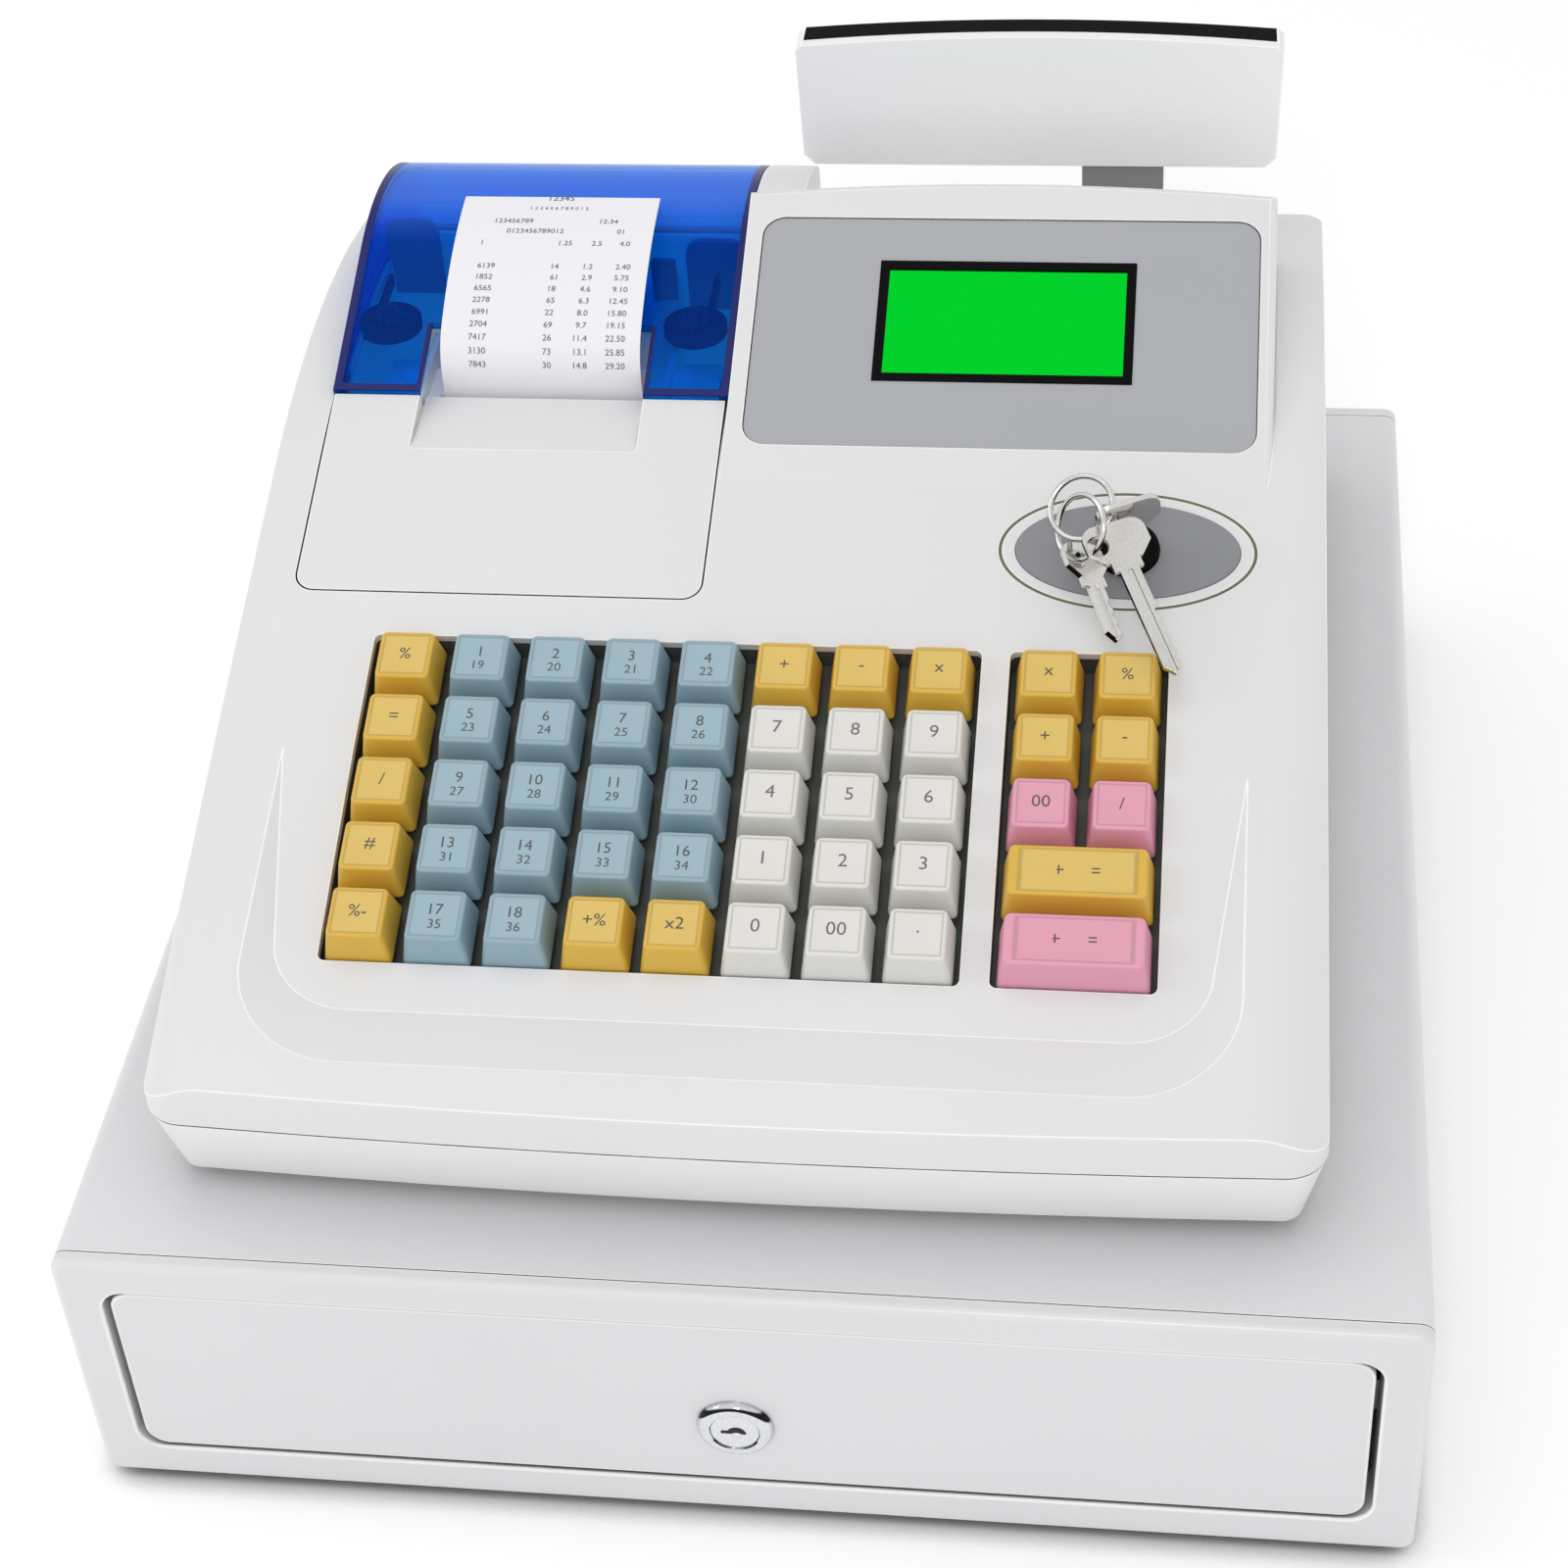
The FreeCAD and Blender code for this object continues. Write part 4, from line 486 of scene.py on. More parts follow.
def roundedRing(halfAcross, halfAlong, corner, side=6, turn=5):
    # a rounded rectangle: straight sides in equal steps joined by quarter arcs of the corner radius
    angle = np.linspace(0, math.pi / 2, turn)
    across, along = [], []
    for quarter in range(4):
        bearing = angle + quarter * math.pi / 2
        signAcross, signAlong = np.sign(math.cos(bearing.mean())), np.sign(math.sin(bearing.mean()))
        across.append(signAcross * (halfAcross - corner) + corner * np.cos(bearing))
        along.append(signAlong * (halfAlong - corner) + corner * np.sin(bearing))
        nextBearing = angle[0] + (quarter + 1) * math.pi / 2
        share = np.linspace(0, 1, side + 1)[1:-1]
        endAcross, endAlong = across[-1][..., -1:], along[-1][..., -1:]
        swap = 1 if quarter % 2 == 0 else -1
        startAcross = np.where(swap > 0, -endAcross + 2 * corner * math.cos(nextBearing), endAcross)
        startAlong = np.where(swap > 0, endAlong, -endAlong + 2 * corner * math.sin(nextBearing))
        across.append(endAcross + (startAcross - endAcross) * share)
        along.append(endAlong + (startAlong - endAlong) * share)
    return np.concatenate(across, -1), np.concatenate(along, -1)


# Keycaps: a tapering skirt, a rolled top edge and a shallow dish

cap = {
    "base": 9.3, "top": 7.6, "foot": -5.0, "footBand": 0.6, "height": 5.5, "roll": 0.8, "corner": 1.6,
    "shift": 0.75, "dish": 0.35, "dishShares": np.array([0.93, 0.86, 0.7, 0.5, 0.3, 0.12]), "arc": 6,
    "stem": 2.5, "stemLength": 8.0, "stemGap": 0.02,
}


def capPoints(acrossPlace, alongPlace, extra):
    # rings of a rounded rectangle: straight up the skirt, round a quarter arc at the top edge, then
    # inwards with the height falling by the dish depth times one minus the squared share
    arc = np.linspace(0, math.pi / 2, cap["arc"])
    share = cap["dishShares"]
    rise = cap["height"] - cap["roll"]
    reach = cap["top"] - (1 - np.cos(arc)) * cap["roll"]
    half = np.concatenate([[cap["base"], cap["base"]], reach, share * reach[-1]])
    skirt = [cap["foot"], cap["foot"] + cap["footBand"]]
    bowl = cap["height"] - cap["dish"] * (1 - share**2)
    height = np.concatenate([skirt, rise + np.sin(arc) * cap["roll"], bowl])
    half[1] = np.interp(height[1], [cap["foot"], rise], [cap["base"], cap["top"]])
    corner = np.minimum(cap["corner"], half * 0.5)[:, None]
    climb = np.clip((height - cap["foot"]) / (rise - cap["foot"]), 0, 1)[:, None]
    wide = half[:, None] + extra * np.concatenate([np.ones(len(half) - len(share)), share])[:, None]
    across, along = roundedRing(wide, half[:, None], corner)
    flat = np.stack([across / (cap["top"] + extra), along / cap["top"]], -1)
    up = alongPlace + along + cap["shift"] * climb
    return onKeyFace(acrossPlace + across, up, height[:, None] + across * 0), flat


def makeCaps(name, places, colour, body, node, extra=0.0):
    # every cap of a node in one mesh, closed at the bottom and the top
    points, faces, flat = [], [], []
    total = 0
    for acrossPlace, alongPlace in places:
        rings, spots = capPoints(acrossPlace, alongPlace, extra)
        rows, columns = rings.shape[:2]
        top = onKeyFace(acrossPlace, alongPlace + cap["shift"], cap["height"] - cap["dish"])
        bottom = onKeyFace(acrossPlace, alongPlace, cap["foot"])
        points += [rings.reshape(-1, 3), top[None], bottom[None]]
        flat += [spots.reshape(-1, 2), np.zeros((1, 2)), np.full((1, 2), 2.0)]
        faces += loopFaces(rows, columns, total).tolist()
        last = total + (rows - 1) * columns + np.arange(columns)
        faces += poleFaces(last, total + rows * columns).tolist()
        faces += poleFaces(total + np.arange(columns), total + rows * columns + 1, True).tolist()
        total += rows * columns + 2
    look = (materials["keycap" + colour], body, True, "keycap_" + colour.lower())
    piece = makePiece(name, np.concatenate(points), faces, *look, np.concatenate(flat))
    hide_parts(node)


def makeStems(name, places, body, slotName):
    # square stems under the caps
    side = cap["stem"]
    low, high = cap["foot"] - cap["stemLength"], cap["foot"] - cap["stemGap"]
    corner = np.array([[-side, -side], [side, -side], [side, side], [-side, side]])
    points, faces = [], []
    for index, (u, v) in enumerate(places):
        for height in (low, high):
            points.append(onKeyFace(u + corner[:, 0], v + corner[:, 1], np.full(4, height)))
        start = index * 8
        faces += [[start + 3, start + 2, start + 1, start], [start + 4, start + 5, start + 6, start + 7]]
        faces += [[start + i, start + (i + 1) % 4, start + 4 + (i + 1) % 4, start + 4 + i] for i in range(4)]
    makePiece(name, np.concatenate(points), faces, materials["deckPlastic"], body, False, slotName)


keyGrid = {
    "first": -101.0, "acrossPitch": 21.3, "low": 52.7, "alongPitch": 20.7, "lastRow": 5,
    "right": (77.9, 99.2), "wide": 88.55, "wideExtra": 10.65,
}


def column(index):
    return keyGrid["first"] + keyGrid["acrossPitch"] * index


def row(index):
    # rows count from the top, as they are read
    return keyGrid["low"] + keyGrid["alongPitch"] * (keyGrid["lastRow"] - index)


numberKeys = {
    "key_7": (5, 2), "key_8": (6, 2), "key_9": (7, 2), "key_4": (5, 3), "key_5": (6, 3), "key_6": (7, 3),
    "key_1": (5, 4), "key_2": (6, 4), "key_3": (7, 4), "key_0": (5, 5), "key_00": (6, 5), "key_point": (7, 5),
}
functionPlaces = [(0, 1), (5, 1), (6, 1), (7, 1), (0, 2), (0, 3), (0, 4), (0, 5), (3, 5), (4, 5)]
departmentPlaces = [(c, r) for r in range(1, 6) for c in range(1, 5) if (c, r) not in functionPlaces]
left, right = keyGrid["right"]
rightKeys = {
    "key_upper_left": (left, row(1), "Yellow"), "key_upper_right": (right, row(1), "Yellow"),
    "key_middle_left": (left, row(2), "Yellow"), "key_middle_right": (right, row(2), "Yellow"),
    "key_lower_left": (left, row(3), "Pink"), "key_lower_right": (right, row(3), "Pink"),
}
wideKeys = {
    "key_subtotal": (keyGrid["wide"], row(4), "Yellow"),
    "key_cash": (keyGrid["wide"], row(5), "Pink"),
}

# Each kind of mark has a size and a distance up from the cap's middle
legend = {
    "figure": (5.6, 0.8), "sign": (5.2, 0.6), "upper": (4.6, 1.9), "lower": (4.0, -2.6), "pair": (5.6, 0.4),
    "pairReach": 5.0, "lift": 0.03,
}


def figureMesh(text, size):
    # flat figures about their own middle, as points and faces
    curve = bpy.data.curves.new("figure", "FONT")
    curve.body, curve.size = text, size
    curve.resolution_u = 3
    holder = bpy.data.objects.new("figure", curve)
    mesh = holder.to_mesh()
    flat = np.empty(len(mesh.vertices) * 3)
    mesh.vertices.foreach_get("co", flat)
    flat = flat.reshape(-1, 3)[:, :2]
    polygons = [list(polygon.vertices) for polygon in mesh.polygons]
    holder.to_mesh_clear()
    bpy.data.objects.remove(holder)
    bpy.data.curves.remove(curve)
    return flat - (flat.max(0) + flat.min(0)) / 2, polygons


def makeLegend(name, marks, body, ink):
    # figures laid in the dish of each cap
    points, faces = [], []
    total = 0
    for text, u, v, size, rise in marks:
        flat, polygons = figureMesh(text, size)
        across, along = flat[:, 0], flat[:, 1] + rise
        reach = np.maximum(abs(across), abs(along)) / cap["top"]
        height = cap["height"] - cap["dish"] * (1 - np.minimum(reach, 1) ** 2) + legend["lift"]
        points.append(onKeyFace(u + across, v + along + cap["shift"], height))
        faces += [[vertex + total for vertex in polygon] for polygon in polygons]
        total += len(flat)
    makePiece(name, np.concatenate(points), faces, materials[ink], body, False)


for node, (columnIndex, rowIndex) in numberKeys.items():
    spot = (column(columnIndex), row(rowIndex))
    makeCaps(node + "_cap", [spot], "White", "press_" + node, node)
    makeStems(node + "_stem", [spot], "press_" + node, "keycap_white")
    text = {"key_point": "."}.get(node, node[4:])
    makeLegend(node + "_figure", [(text, *spot, *legend["figure"])], "press_" + node, "numberInk")

signs = ["%", "+", "-", "x", "=", "/", "#", "%-", "+%", "x2"]
spots = [(column(c), row(r)) for c, r in functionPlaces]
makeCaps("function_caps", spots, "Yellow", "press_function_keys", "function_keys")
makeStems("function_stems", spots, "press_function_keys", "keycap_yellow")
marks = [(sign, *spot, *legend["sign"]) for sign, spot in zip(signs, spots)]
makeLegend("function_signs", marks, "press_function_keys", "keyInk")

spots = [(column(c), row(r)) for c, r in departmentPlaces]
makeCaps("department_caps", spots, "Blue", "press_department_keys", "department_keys")
makeStems("department_stems", spots, "press_department_keys", "keycap_blue")
marks = []
for index, spot in enumerate(spots):
    marks.append((str(index + 1), *spot, *legend["upper"]))
    marks.append((str(index + 1 + len(spots)), *spot, *legend["lower"]))
makeLegend("department_numbers", marks, "press_department_keys", "keyInk")

rightSigns = dict(zip(rightKeys, ["x", "%", "+", "-", "00", "/"]))
for node, (u, v, colour) in rightKeys.items():
    makeCaps(node + "_cap", [(u, v)], colour, "press_" + node, node)
    makeStems(node + "_stem", [(u, v)], "press_" + node, "keycap_" + colour.lower())
    makeLegend(node + "_sign", [(rightSigns[node], u, v, *legend["sign"])], "press_" + node, "keyInk")
for node, (u, v, colour) in wideKeys.items():
    makeCaps(node + "_cap", [(u, v)], colour, "press_" + node, node, keyGrid["wideExtra"])
    makeStems(node + "_stem", [(u, v)], "press_" + node, "keycap_" + colour.lower())
    reach = legend["pairReach"]
    pair = [("+", u - reach, v, *legend["pair"]), ("=", u + reach, v, *legend["pair"])]
    makeLegend(node + "_signs", pair, "press_" + node, "keyInk")
print("stage: keys made")

# The receipt's print: rows of figures laid on the front face of the paper

receipt = {
    "middle": -77.4, "bendHeight": 104.0, "bendRadius": 14.43, "bendCentre": 248.3, "bendEnd": 30.0,
    "arcRadius": 109.43, "arcCentre": (295.8, 21.73), "lift": 0.04,
}


def onReceipt(across, along, lift):
    # along runs up the face: straight to the bend, then one arc and a second of a larger radius
    first = (90.0 - receipt["bendEnd"]) / 180 * math.pi * receipt["bendRadius"]
    straight = np.minimum(along, 0.0)
    angle = np.radians(90.0) - np.clip(along, 0.0, first) / receipt["bendRadius"]
    second = np.radians(receipt["bendEnd"]) - np.maximum(along - first, 0.0) / receipt["arcRadius"]
    inBend = along <= first
    radius = np.where(inBend, receipt["bendRadius"], receipt["arcRadius"]) + lift
    turned = np.where(inBend, angle, second)
    centreY = np.where(inBend, receipt["bendCentre"], receipt["arcCentre"][0])
    centreZ = np.where(inBend, receipt["bendHeight"], receipt["arcCentre"][1])
    y = centreY - radius * np.sin(turned)
    z = centreZ + radius * np.cos(turned) + straight
    return onRegister(receipt["middle"] + across, y, z)


receiptRows = [
    (66.0, 3.4, [(0.0, "12345")]),
    (61.0, 2.0, [(0.0, "1 2 3 4 5 6 7 8 9 0 1 2")]),
    (55.0, 2.7, [(-13.0, "123456789"), (16.0, "12:34")]),
    (50.6, 2.7, [(-6.0, "0123456789012"), (20.0, "01")]),
    (45.6, 2.7, [(-21.5, "1"), (4.0, "1.25"), (13.5, "2.5"), (22.0, "4.0")]),
]


def itemRow(line):
    # one line of the list: a code, a count, a price and a sum
    code, count = 4713 * (line + 3) % 9000 + 1000, 137 * (line + 2) % 90 + 10
    words = [(-19.0, str(code)), (2.0, str(count))]
    words += [(12.0, "%.1f" % (line * 1.7 + 1.2)), (22.5, "%.2f" % (line * 3.35 + 2.4))]
    return 36.5 - 4.1 * line, 2.7, words


receiptRows += [itemRow(line) for line in range(9)]


def makeReceiptPrint():
    # every word is made flat and then bent with the paper
    points, faces = [], []
    total = 0
    for along, size, words in receiptRows:
        for across, word in words:
            flat, polygons = figureMesh(word, size)
            points.append(onReceipt(across + flat[:, 0], along + flat[:, 1], receipt["lift"]))
            faces += [[vertex + total for vertex in polygon] for polygon in polygons]
            total += len(flat)
    look = (materials["ticketInk"], "printer_cover", False, "receipt_paper")
    makePiece("receipt_print", np.concatenate(points), faces, *look)


makeReceiptPrint()

# The double line round the mode lock's plate

lockLine = {
    "across": 97.5, "along": 181.5, "halfAcross": 35.5, "halfAlong": 19.9, "width": 0.45, "lift": 0.1,
    "steps": 160, "sides": 8,
}


def makeLockLine():
    # an ellipse swept with a small half-round section
    turn = np.linspace(0, 2 * math.pi, lockLine["steps"], endpoint=False)[None, :]
    section = np.linspace(0, 2 * math.pi, lockLine["sides"], endpoint=False)[:, None]
    reach = lockLine["width"] * np.cos(section)
    u = lockLine["across"] + (lockLine["halfAcross"] + reach) * np.cos(turn)
    v = lockLine["along"] + (lockLine["halfAlong"] + reach) * np.sin(turn)
    n = lockLine["lift"] * np.sin(section) + 0 * turn
    points = onKeyFace(u, v, n)
    faces = loopFaces(lockLine["sides"], lockLine["steps"], wrapped=True)
    makePiece("mode_lock_line", points, faces, materials["grooveOlive"], "housing", True, "panel_grey")


makeLockLine()
print("stage: print and lock line made")


# The dark edges of the clear window, where its wall is seen from the side

pane = {
    "left": -138.8, "right": -20.3, "front": 225.45, "tangent": (276.3, 120.8), "slope": math.radians(18.4),
    "arc": (299.75, 50.3, 74.3), "last": 28.0, "notch": (-112.6, -45.6, 249.4), "edge": 2.4, "lift": 0.05,
    "sink": 0.4, "steps": 40,
}
paneRun = (pane["tangent"][0] - pane["front"]) / math.cos(pane["slope"])


def onPane(x, along, lift):
    # along is a length from the front edge: a straight slope, then the large arc from its tangent point
    slope = pane["slope"]
    centreY, centreZ, radius = pane["arc"]
    angle = (along - paneRun) / radius - slope
    onArc = along > paneRun
    front = pane["front"] + along * math.cos(slope) - lift * math.sin(slope)
    rise = pane["tangent"][1] - (paneRun - along) * math.sin(slope) + lift * math.cos(slope)
    y = np.where(onArc, centreY + (radius + lift) * np.sin(angle), front)
    z = np.where(onArc, centreZ + (radius + lift) * np.cos(angle), rise)
    return onRegister(x, y, z)


def makePaneEdges():
    # flat bars whose four corners follow the pane, closed at both ends
    left, right, edge, steps = pane["left"], pane["right"], pane["edge"], pane["steps"]
    notchLeft, notchRight, notchEnd = pane["notch"]
    total = paneRun + (math.radians(pane["last"]) + pane["slope"]) * pane["arc"][2]
    depth = (notchEnd - pane["front"]) / math.cos(pane["slope"])
    bars = [
        (left, left + edge, 0.0, total), (right - edge, right, 0.0, total),
        (left + edge, notchLeft, 0.0, edge), (notchRight, right - edge, 0.0, edge),
        (notchLeft - edge / 2, notchLeft, edge, depth), (notchRight, notchRight + edge / 2, edge, depth),
    ]
    points, faces = [], []
    for x0, x1, start, end in bars:
        along = np.linspace(start, end, steps)[:, None]
        x = np.array([x0, x1, x1, x0])[None, :]
        lift = np.array([pane["lift"], pane["lift"], -pane["sink"], -pane["sink"]])[None, :]
        first = pointCount(points)
        points.append(onPane(x, along, lift).reshape(-1, 3))
        faces += loopFaces(steps, 4, first).tolist()
        last = first + (steps - 1) * 4
        faces += [[first + 3, first + 2, first + 1, first], [last, last + 1, last + 2, last + 3]]
    look = (materials["paneEdge"], "printer_cover", False, "window_blue")
    makePiece("printer_window_edges", np.concatenate(points), faces, *look)


makePaneEdges()

# Inside the printer: wound ribbons on the spools, two rods and the cheeks that hold the roll

inner = {
    "spools": [(-128.3, 260.0, 106.0), (-34.5, 260.0, 106.0)],
    "ribbon": {"inside": 3.0, "outside": 9.6, "thick": 3.0, "turns": 9, "swell": 0.25, "steps": 72},
    "rods": [(-133.2, -131.8, 264.0, 283.0, 103.5, 107.5), (-31.6, -30.2, 267.0, 285.0, 103.5, 107.5)],
    "cheeks": [(-136.3, -119.5, 296.0, 298.0, 92.0, 119.5), (-41.0, -22.6, 289.0, 291.0, 92.0, 116.5),
               (-51.0, -43.5, 283.0, 285.0, 99.0, 113.0)],
    "rodCorners": (0.3, 0.3), "cheekCorners": (7.0, 5.0, 1.0),
    "core": [(4.6, 0.2), (4.8, 0.6), (4.8, 1.6), (4.5, 1.9), (2.6, 1.9), (2.3, 2.2), (2.3, 4.2), (1.9, 4.6)],
}
aroundSteps = 96  # points round a turned piece


def makeRibbons():
    # a flat ring whose top rises and falls with radius and bearing together, which draws a spiral
    look = inner["ribbon"]
    steps = look["steps"]
    bearing = np.linspace(0, 2 * math.pi, steps, endpoint=False)[None, :]
    share = np.linspace(0, 1, 60)[:, None]
    radius = look["inside"] + (look["outside"] - look["inside"]) * share
    wave = np.sin(2 * math.pi * look["turns"] * share - bearing)
    radii = np.concatenate([radius, radius[-1:], radius[:1]]) + 0 * bearing
    foot = np.full((2, steps), -look["thick"])
    lift = np.concatenate([look["swell"] * wave, foot])
    points, faces = [], []
    for x, y, z in inner["spools"]:
        rows = onRegister(x + radii * np.cos(bearing), y + radii * np.sin(bearing), z + lift)
        faces += np.flip(loopFaces(len(rows), steps, pointCount(points), True), 1).tolist()
        points.append(rows.reshape(-1, 3))
    look = (materials["inkRibbon"], "housing", True, "deck_plastic")
    makePiece("ribbon_windings", np.concatenate(points), faces, *look)


def turnedPiece(place, profile, teeth=0, ripple=0.0, squash=1.0):
    # radius and height pairs swept round an axis, the radius rippled into teeth, a pole at each end
    turn = np.linspace(0, 2 * math.pi, aroundSteps, endpoint=False)[None, :]
    shape = np.array(profile)
    reach = shape[:, :1] * (1 + ripple * np.tanh(4 * np.cos(teeth * turn)))
    rings = place(reach * np.cos(turn), squash * reach * np.sin(turn), shape[:, 1:] + 0 * turn)
    poles = place(np.zeros(2), np.zeros(2), shape[[0, -1], 1])
    around = np.arange(aroundSteps)
    last = (len(shape) - 1) * aroundSteps
    pole = last + aroundSteps
    faces = loopFaces(len(shape), aroundSteps).tolist() + poleFaces(around, pole, True).tolist()
    faces += poleFaces(last + around, pole + 1).tolist()
    return np.concatenate([rings.reshape(-1, 3), poles]), faces


def standingAt(x, y, z):
    # the place function of a turned piece that stands upright there
    def place(a, b, h):
        return onRegister(x + a, y + b, z + h)

    return place


def makeSpoolCores():
    # toothed hub in the middle of each ribbon spool
    points, faces = [], []
    for middle in inner["spools"]:
        hub, loops = turnedPiece(standingAt(*middle), inner["core"], 13, 0.12)
        start = pointCount(points)
        faces += [[start + corner for corner in loop] for loop in loops]
        points.append(hub)
    look = (materials["coreSteel"], "housing", False, "deck_plastic")
    makePiece("spool_cores", np.concatenate(points), faces, *look)


# The drawer lock's face: a disc level with the chrome ring, a black slab as the keyhole's painted shade and
# the bright pin in it

lockFace = {
    "disc": [(6.6, 0.0), (6.6, 1.05), (6.5, 1.2), (6.3, 1.3)],
    "pin": [(1.5, 1.2), (1.45, 1.35), (1.2, 1.45), (0.8, 1.52), (0.4, 1.55)],
    "pinPlace": (0.5, -1.0), "pinSquash": 0.75,
    "hole": {"left": -3.7, "slot": 0.55, "arch": 2.6, "across": 0.5, "turn": 0.86, "depths": (1.2, 1.4)},
}


def makeLockFace():
    # two turned pieces, and a slab whose outline is a half circle above a flat foot with a slot to its left
    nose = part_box("drawer_lock_cylinder")[0][1]
    low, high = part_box("drawer_lock_rosette")
    middleX, middleZ = (low[0] + high[0]) / 2, (low[2] + high[2]) / 2
    acrossPin, upPin = lockFace["pinPlace"]

    def onPlug(a, b, h):
        spots = np.broadcast_arrays(middleX + a * mm, nose - h * mm, middleZ + b * mm)
        return np.stack(spots, -1)

    def onPin(a, b, h):
        return onPlug(acrossPin + a, upPin + b, h)

    disc, loops = turnedPiece(onPlug, lockFace["disc"])
    makePiece("lock_disc", disc, loops, materials["lockSteel"], "drawer_lock", False, "lock_chrome")
    pin, loops = turnedPiece(onPin, lockFace["pin"], squash=lockFace["pinSquash"])
    makePiece("lock_pin", pin, loops, materials["lockSteel"], "drawer_lock", True, "lock_chrome")
    hole = lockFace["hole"]
    arc = np.linspace(0, math.pi * hole["turn"], 24)
    across = np.concatenate([hole["across"] + hole["arch"] * np.cos(arc), [hole["left"], hole["left"]]])
    up = np.concatenate([hole["arch"] * np.sin(arc) - hole["slot"], [hole["slot"], -hole["slot"]]])
    around = np.arange(len(across))
    count = len(across)
    rings = [onPlug(across, up, depth) for depth in hole["depths"]]
    poles = [onPlug(np.zeros(1), np.zeros(1), depth) for depth in hole["depths"]]
    faces = loopFaces(2, count).tolist() + poleFaces(around, 2 * count, True).tolist()
    faces += poleFaces(count + around, 2 * count + 1).tolist()
    # the keyhole slab is black: painted shade where the hole goes into the plug
    look = (materials["inkRibbon"], "drawer_lock", False, "lock_chrome")
    makePiece("lock_keyhole", np.concatenate(rings + poles), faces, *look)


def makeUprights(name, places, corners, finish):
    # an upright slab with rounded upper corners: its outline drawn twice, with a pole in each face
    points, faces = [], []
    for (x0, x1, y0, y1, z0, z1), corner in zip(places, corners):
        arc = np.linspace(0, math.pi / 2, 9)
        east, west = x1 - corner + corner * np.cos(arc), x0 + corner - corner * np.sin(arc)
        eastTop, westTop = z1 - corner + corner * np.sin(arc), z1 - corner + corner * np.cos(arc)
        across = np.concatenate([east, west, [x0, x1]])
        height = np.concatenate([eastTop, westTop, [z0, z0]])
        start = pointCount(points)
        ring = [onRegister(across, depth, height) for depth in (y0, y1)]
        poles = [onRegister((x0 + x1) / 2, depth, (z0 + z1) / 2)[None] for depth in (y0, y1)]
        count = len(across)
        around = np.arange(count)
        points.append(np.concatenate(ring + poles))
        faces += np.flip(loopFaces(2, count, start), 1).tolist()
        faces += poleFaces(start + around, start + 2 * count, True).tolist()
        faces += poleFaces(start + count + around, start + 2 * count + 1).tolist()
    makePiece(name, np.concatenate(points), faces, materials[finish], "housing", False, "deck_plastic")


makeRibbons()
makeSpoolCores()
makeLockFace()
makeUprights("spool_rods", inner["rods"], inner["rodCorners"], "inkRibbon")
makeUprights("roll_cheeks", inner["cheeks"], inner["cheekCorners"], "holderPlastic")
print("stage: printer inside made")

# Floor, light and camera

floorLook = {
    "half": 6.0, "colour": tone(252, 252, 252), "glow": 0.06, "reach": 0.014, "shade": tone(120, 118, 120),
    "open": (0.3, 0.7),
}


def makeFloor():
    # a white floor with a painted shadow close to the feet and the walls
    paint = Paint("floorWhite")
    # how open the floor is: the painted shadow greys it and dims its glow where the model stands close
    clear = paint.ranged(paint.openness(floorLook["reach"]), 0.0, 1.0, *floorLook["open"])
    colour = paint.mixed(clear, floorLook["shade"], floorLook["colour"])
    glimmer = paint.mixed(clear, tone(0, 0, 0), (1, 1, 1, 1))
    glow = {"Emission Color": glimmer, "Emission Strength": floorLook["glow"]}
    material = paint.finish({"Base Color": colour, "Roughness": 0.9, "Specular IOR Level": 0.0, **glow})
    half = floorLook["half"]
    mesh = bpy.data.meshes.new("floor")
    corners = [(-half, -half, 0), (half, -half, 0), (half, half, 0), (-half, half, 0)]
    mesh.from_pydata(corners, [], [(0, 1, 2, 3)])
    mesh.materials.append(material)
    floor = bpy.data.objects.new("floor", mesh)
    bpy.context.scene.collection.objects.link(floor)


makeFloor()

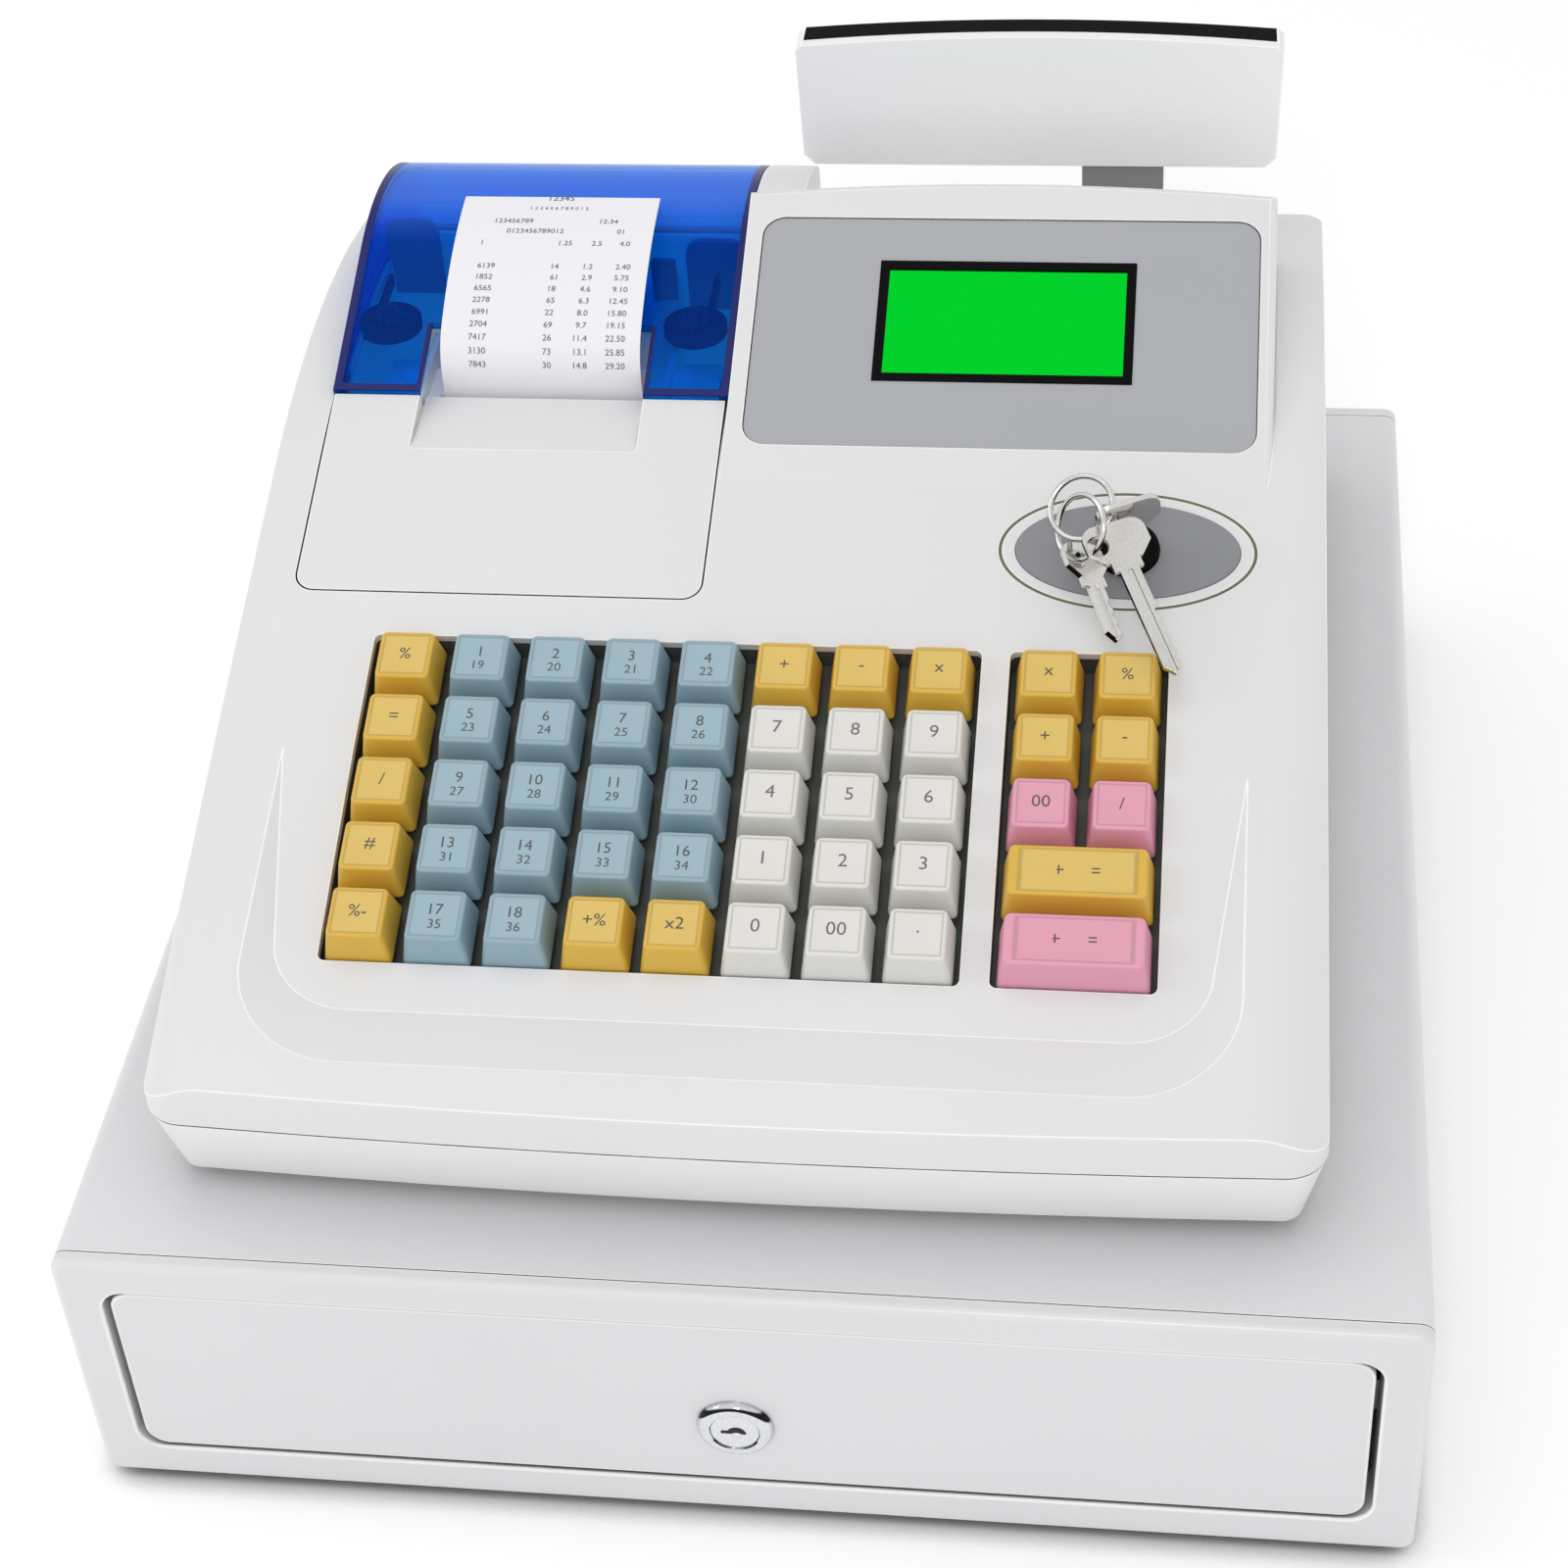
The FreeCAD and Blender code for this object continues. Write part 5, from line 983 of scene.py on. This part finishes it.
lamps = {
    "overheadLamp": {"place": (-0.6, 0.3, 2.2), "size": 1.2, "power": 2.5},
    "cameraLamp": {"place": (0.1, -1.5, 1.5), "size": 0.4, "power": 7.0},
    "leftLamp": {"place": (-2.0, -0.2, 1.5), "size": 0.7, "power": 4.5},
}
for name, values in lamps.items():
    light = bpy.data.lights.new(name, "AREA")
    light.size, light.energy = values["size"], values["power"]
    lamp = bpy.data.objects.new(name, light)
    lamp.location = values["place"]
    aim = Vector((0, 0, 0.1)) - Vector(values["place"])
    lamp.rotation_euler = aim.to_track_quat("-Z", "Y").to_euler()
    bpy.context.scene.collection.objects.link(lamp)


worldLook = {"asLight": 0.84, "seen": 1.0}


def makeWorld():
    # a white surround, a little weaker as light than it is where the camera sees it
    world = bpy.data.worlds.new("studio")
    paint = Paint("studio", world)
    seen = paint.add("ShaderNodeLightPath", output="Is Camera Ray")
    seen = seen.maths("MAXIMUM", seen, paint.add("ShaderNodeLightPath", output="Is Transmission Ray"))
    level = paint.ranged(seen, worldLook["asLight"], worldLook["seen"])
    sky = paint.add("ShaderNodeBackground", {}, {"Color": (1, 1, 1, 1), "Strength": level})
    paint.add("ShaderNodeOutputWorld", {}, {"Surface": sky}, None)
    bpy.context.scene.world = world


makeWorld()

cameraLook = {
    "place": (0.1143, -0.7434, 0.7508),
    "right": (0.9904, 0.1227, -0.0641),
    "down": (0.0317, -0.6515, -0.7580),
    "lens": 76.1175,
    "sensor": 36.0,
    "shift": (0.02875, -0.026875),
    "clip": (0.01, 50.0),
}


def makeCamera():
    data = bpy.data.cameras.new("photoCamera")
    data.lens, data.sensor_width = cameraLook["lens"], cameraLook["sensor"]
    data.shift_x, data.shift_y = cameraLook["shift"]
    data.clip_start, data.clip_end = cameraLook["clip"]
    right = Vector(cameraLook["right"]).normalized()
    up = -Vector(cameraLook["down"])
    up = (up - up.dot(right) * right).normalized()
    turn = Matrix((right, up, right.cross(up))).transposed()
    camera = bpy.data.objects.new("photoCamera", data)
    camera.matrix_world = Matrix.Translation(cameraLook["place"]) @ turn.to_4x4()
    bpy.context.scene.collection.objects.link(camera)
    bpy.context.scene.camera = camera


makeCamera()
bpy.context.scene.view_settings.view_transform = "Standard"
print("stage: floor, light and camera set")
